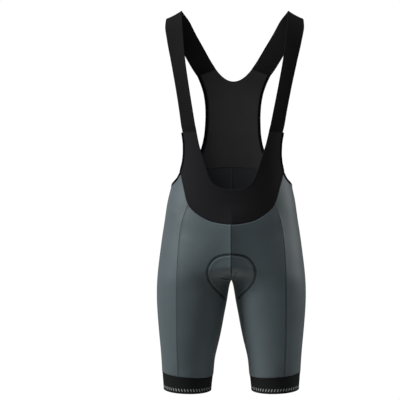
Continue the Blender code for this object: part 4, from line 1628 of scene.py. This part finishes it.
@dataclass(frozen=True)
class Row:
    """A kind of stitch row: how its stitches lie, their pitch, length and thread."""

    needle: Needle
    pitch: float
    reach: float
    thread: float = 0.45
    proud: float = 0.12
    arch: float = 0.12
    flattest: float = 0.5

    def along(self, path: Array, normals: Array, offset: float = 0.0) -> Array:
        """Lay one row of stitches along a path on the cloth.

        Args:
            path, normals: the line on the outside of the cloth and its outward directions.
            offset: how far the row lies beside the path.

        Returns:
            The stitches' points.
        """
        total = lengths(path)[-1]
        at = (np.arange(int(total / self.pitch)) + 0.5) * self.pitch
        normal = unit(resample(path, at, normals))
        ahead = resample(path, np.minimum(at + 0.5, total))
        behind = resample(path, np.maximum(at - 0.5, 0))
        forward = unit(ahead - behind)
        aside = unit(np.cross(normal, forward))
        angle = np.full(len(at), radians(self.needle.value))
        if self.needle is Needle.ZIGZAG:
            angle *= np.where(np.arange(len(at)) % 2, 1.0, -1.0)
        heading = forward * np.cos(angle)[:, None] + aside * np.sin(angle)[:, None]
        centres = resample(path, at) + aside * offset + normal * self.proud
        bar = Bar(self.reach, self.thread, min(self.thread, self.flattest), self.arch)
        return bar.rows(centres, heading, normal)


@dataclass
class Sewing:
    """The stitches that join the pieces, laid over their seams."""

    pad: SeatPad
    dark: Material
    grey: Material
    black: Material
    centre: Row = Row(Needle.FLATLOCK, 1.0, 2.6)
    side_seam: Row = Row(Needle.FLATLOCK, 1.1, 2.4)
    inseam: Row = Row(Needle.FLATLOCK, 1.2, 2.6)
    cover: Row = Row(Needle.COVER, 2.6, 2.2)
    pad_ring: Row = Row(Needle.ZIGZAG, 1.5, 3.6, thread=1.0)
    centre_start: float = 3.0  # over the crotch
    ring_proud: float = 0.5  # over the bottom of the groove
    ring_gap: float = 3.2
    ring_inset: float = 4.0

    def line(
        self, turn: Array, height: Array, side: Side, proud: float = 0.0, ridge: Array = 0.0
    ) -> Pair:
        """Return a line's points on the outside of the creased cloth, and its normals."""
        return laid(turn, height, side, 0.0, proud, ridge)[0], FORM.normal(turn, height)

    def build_centre(self) -> None:
        """Make the centre front seam with dark thread, and the centre back seam with grey."""
        low, corner = FORM.crotch + self.centre_start, PATTERN.back_corner[1]
        ends = (
            ("centre_front_stitches", PATTERN.bib_hem[-1].outer_z, False, self.dark),
            ("centre_back_stitches", corner + PATTERN.back_seam_rise, True, self.grey),
        )
        for name, top, back, thread in ends:
            # Closer together at the crotch, where the seam runs almost level
            height = blend(low, top, np.linspace(1, 0, 300) ** 1.6)
            turn = FORM.turn_at(0.0, height)
            path = self.line(pi - turn if back else turn, height, Side.LEFT)
            build_bars(name, self.centre.along(*path), Side.LEFT, thread, "lycra_grey")

    def build_side(self, side: Side) -> None:
        """Make one side's stitches: side seam, inseam, bib hem, leg band and bib back."""
        top = PATTERN.bib_hem[PATTERN.seam_row - 1].outer_z
        height = np.linspace(top - 1, PATTERN.band_top + PATTERN.band_rise, 400)
        ridge = PATTERN.seam_ridge(np.zeros(400), height)
        seam = self.line(PATTERN.side_seam_turn(height), height, side, 0.0, ridge)
        height = np.linspace(FORM.crotch - 2, PATTERN.band_top - PATTERN.band_rise + 1, 200)
        inseam = self.line(np.full(200, -pi / 2), height, side)
        grey = np.concatenate([self.side_seam.along(*seam), self.inseam.along(*inseam)])
        build_bars(side.named("leg_seam_stitches"), grey, side, self.grey, "lycra_grey")

        _, hem = PATTERN.bib_line(np.linspace(PATTERN.apex_place, PATTERN.middle_place, 240))
        hem_turn, ring_turn = FORM.turn_at(hem[:, 0], hem[:, 1]), np.linspace(0, 2 * pi, 400)
        back = (part[2:] for part in PATTERN.back_seam(np.linspace(0, 1, 161)))
        # Each path has two rows of cover stitches beside it
        paths = (
            (self.line(hem_turn, hem[:, 1], side), (-2.0, -5.0)),
            (self.line(ring_turn, PATTERN.band_line(ring_turn), side, -0.1), (1.8, -2.2)),
            (self.line(*back, side), (2.0, -2.0)),
        )
        rows = [self.cover.along(*path, off) for path, offsets in paths for off in offsets]
        build_bars(
            side.named("cover_stitches"), np.concatenate(rows), side, self.black, "bib_black"
        )

    def build_ring(self, side: Side) -> None:
        """Make half of the dark double zig-zag that holds the pad's rim to the shorts.

        It runs from the centre front down the ring, and inside the pad's rim to the centre back.
        """
        turn, height = FORM.ring_places(120)
        place = np.linspace(4, self.pad.table[-1].place - self.ring_inset, 60)
        half = self.pad.measure("half_width", place) - self.ring_inset
        half[-1] = 0.5
        turns, heights = self.pad.walk(place, half, 24)
        path = np.concatenate([turn, turns[-1]]), np.concatenate([height, heights[-1]])
        path = self.line(*path, side, self.ring_proud)
        rows = [self.pad_ring.along(*path, off * self.ring_gap / 2) for off in (-1, 1)]
        build_bars(
            side.named("pad_ring_stitches"), np.concatenate(rows), side, self.dark, "lycra_grey"
        )


# ---------------------------------------------------------------- the studio


@dataclass(frozen=True)
class SoftBox:
    """A soft box: degrees round from the front to the wearer's right, degrees up, and its sizes."""

    name: str
    round: float
    up: float
    distance: float
    width: float
    height: float
    power: float

    def build(self, aim: Triple) -> None:
        """Make the rectangular area light at its place, turned to its aim."""
        data = bpy.data.lights.new(self.name, "AREA")
        data.shape = "RECTANGLE"
        data.size, data.size_y, data.energy = self.width, self.height, self.power
        made = bpy.data.objects.new(self.name, data)
        bpy.context.scene.collection.objects.link(made)
        turn, rise = radians(self.round), radians(self.up)
        away = np.array([-sin(turn) * cos(rise), -cos(turn) * cos(rise), sin(rise)])
        made.location = np.array(aim) + away * self.distance
        made.rotation_euler = (acos(away[2]), 0, atan2(away[0], -away[1]))


@dataclass
class Studio:
    """The floor, the soft lights and the camera, in metres."""

    floor_finish: Material
    lights: tuple[SoftBox, ...] = (
        SoftBox("key soft box", 70, 30, 3.2, 0.9, 1.5, 118),
        SoftBox("rim soft box", -104, 14, 2.4, 0.8, 1.2, 22),
        SoftBox("side fill", -74, 22, 2.4, 0.8, 1.2, 6),
        SoftBox("front fill", 0, 60, 2.6, 1.2, 1.2, 4),
        SoftBox("top soft box", 10, 72, 2.4, 1.0, 1.2, 16),
    )
    aim: Triple = (0.0, 0.0, -0.5)
    # How strongly the white surroundings light the garment, and how they look to the camera
    ambient: float = 0.062
    white: float = 1.02
    camera_distance: float = 2.2
    camera_height: float = -0.435
    sensor: float = 36.0
    field: float = 0.94
    shift: float = -0.0783
    # The wearer's shoulders are 1.45 m up
    floor_height: float = -1.45
    floor_radii: tuple[float, ...] = (0.0005, 0.5, 1.0)
    floor_sides: int = 96

    def build_floor(self) -> None:
        """Make a round floor: one disc of points on rings, well under the garment."""
        sides = self.floor_sides
        turn = np.linspace(0, 2 * pi, sides + 1)[None, :-1]
        radius = np.array(self.floor_radii)[:, None]
        x, y = radius * np.cos(turn), radius * np.sin(turn)
        points = np.stack([x, y, 0 * radius * turn + self.floor_height], -1)
        r, c = np.mgrid[: len(self.floor_radii) - 1, :sides].reshape(2, -1)
        here, there, end = r * sides, (r + 1) * sides, (c + 1) % sides
        faces = np.stack([here + c, there + c, there + end, here + end], -1)
        mesh_object("floor", points.reshape(-1, 3), faces, self.floor_finish)

    def build_world(self) -> bpy.types.World:
        """Make the white surroundings: bright to the camera, and dim to every surface."""
        world = bpy.data.worlds.new("white studio")
        world.use_nodes = True
        tree = world.node_tree
        tree.nodes.clear()
        glow, plain = (
            add_node(tree, "Background", {"Color": linear("#ffffff"), "Strength": strength})
            for strength in (self.ambient, self.white)
        )
        seen = add_node(tree, "LightPath", out="Is Camera Ray")
        sky = add_node(tree, "MixShader", {0: seen, 1: glow, 2: plain})
        add_node(tree, "OutputWorld", {"Surface": sky})
        return world

    def build(self) -> None:
        """Set up the floor, the surroundings, the lights and the camera."""
        self.build_floor()
        scene = bpy.context.scene
        scene.view_settings.view_transform = "Standard"
        scene.world = self.build_world()
        for box in self.lights:
            box.build(self.aim)
        data = bpy.data.cameras.new("camera")
        data.lens = self.sensor * self.camera_distance / self.field
        data.shift_x = self.shift
        camera = bpy.data.objects.new("camera", data)
        scene.collection.objects.link(camera)
        camera.location = (0.0, -self.camera_distance, self.camera_height)
        camera.rotation_euler = (pi / 2, 0, 0)
        scene.camera = camera


def main() -> None:
    """Build the garment piece by piece, then the studio."""
    panels = LegPanels(LYCRA.build(), LYCRA_INSIDE.build())
    bands = LegBands(GRIPPER.build(), REFLECTIVE_PRINT.build())
    bib = Bib(BIB_KNIT.build(), BACK_MESH.build())
    straps = Straps(ELASTIC.build())
    bindings = EdgeBindings(EDGE_ELASTIC.build())
    pad = SeatPad(PAD_KNIT.build())
    sewing = Sewing(pad, DARK_THREAD.build(), GREY_THREAD.build(), BLACK_THREAD.build())
    for side in Side:
        panels.build(side)
        bands.build(side)
        straps.build(side)
        bindings.build(side)
        sewing.build_side(side)
        sewing.build_ring(side)
    bib.build_front()
    bib.build_back()
    pad.build()
    sewing.build_centre()
    Studio(STUDIO_FLOOR.build()).build()


if __name__ == "__main__":
    main()
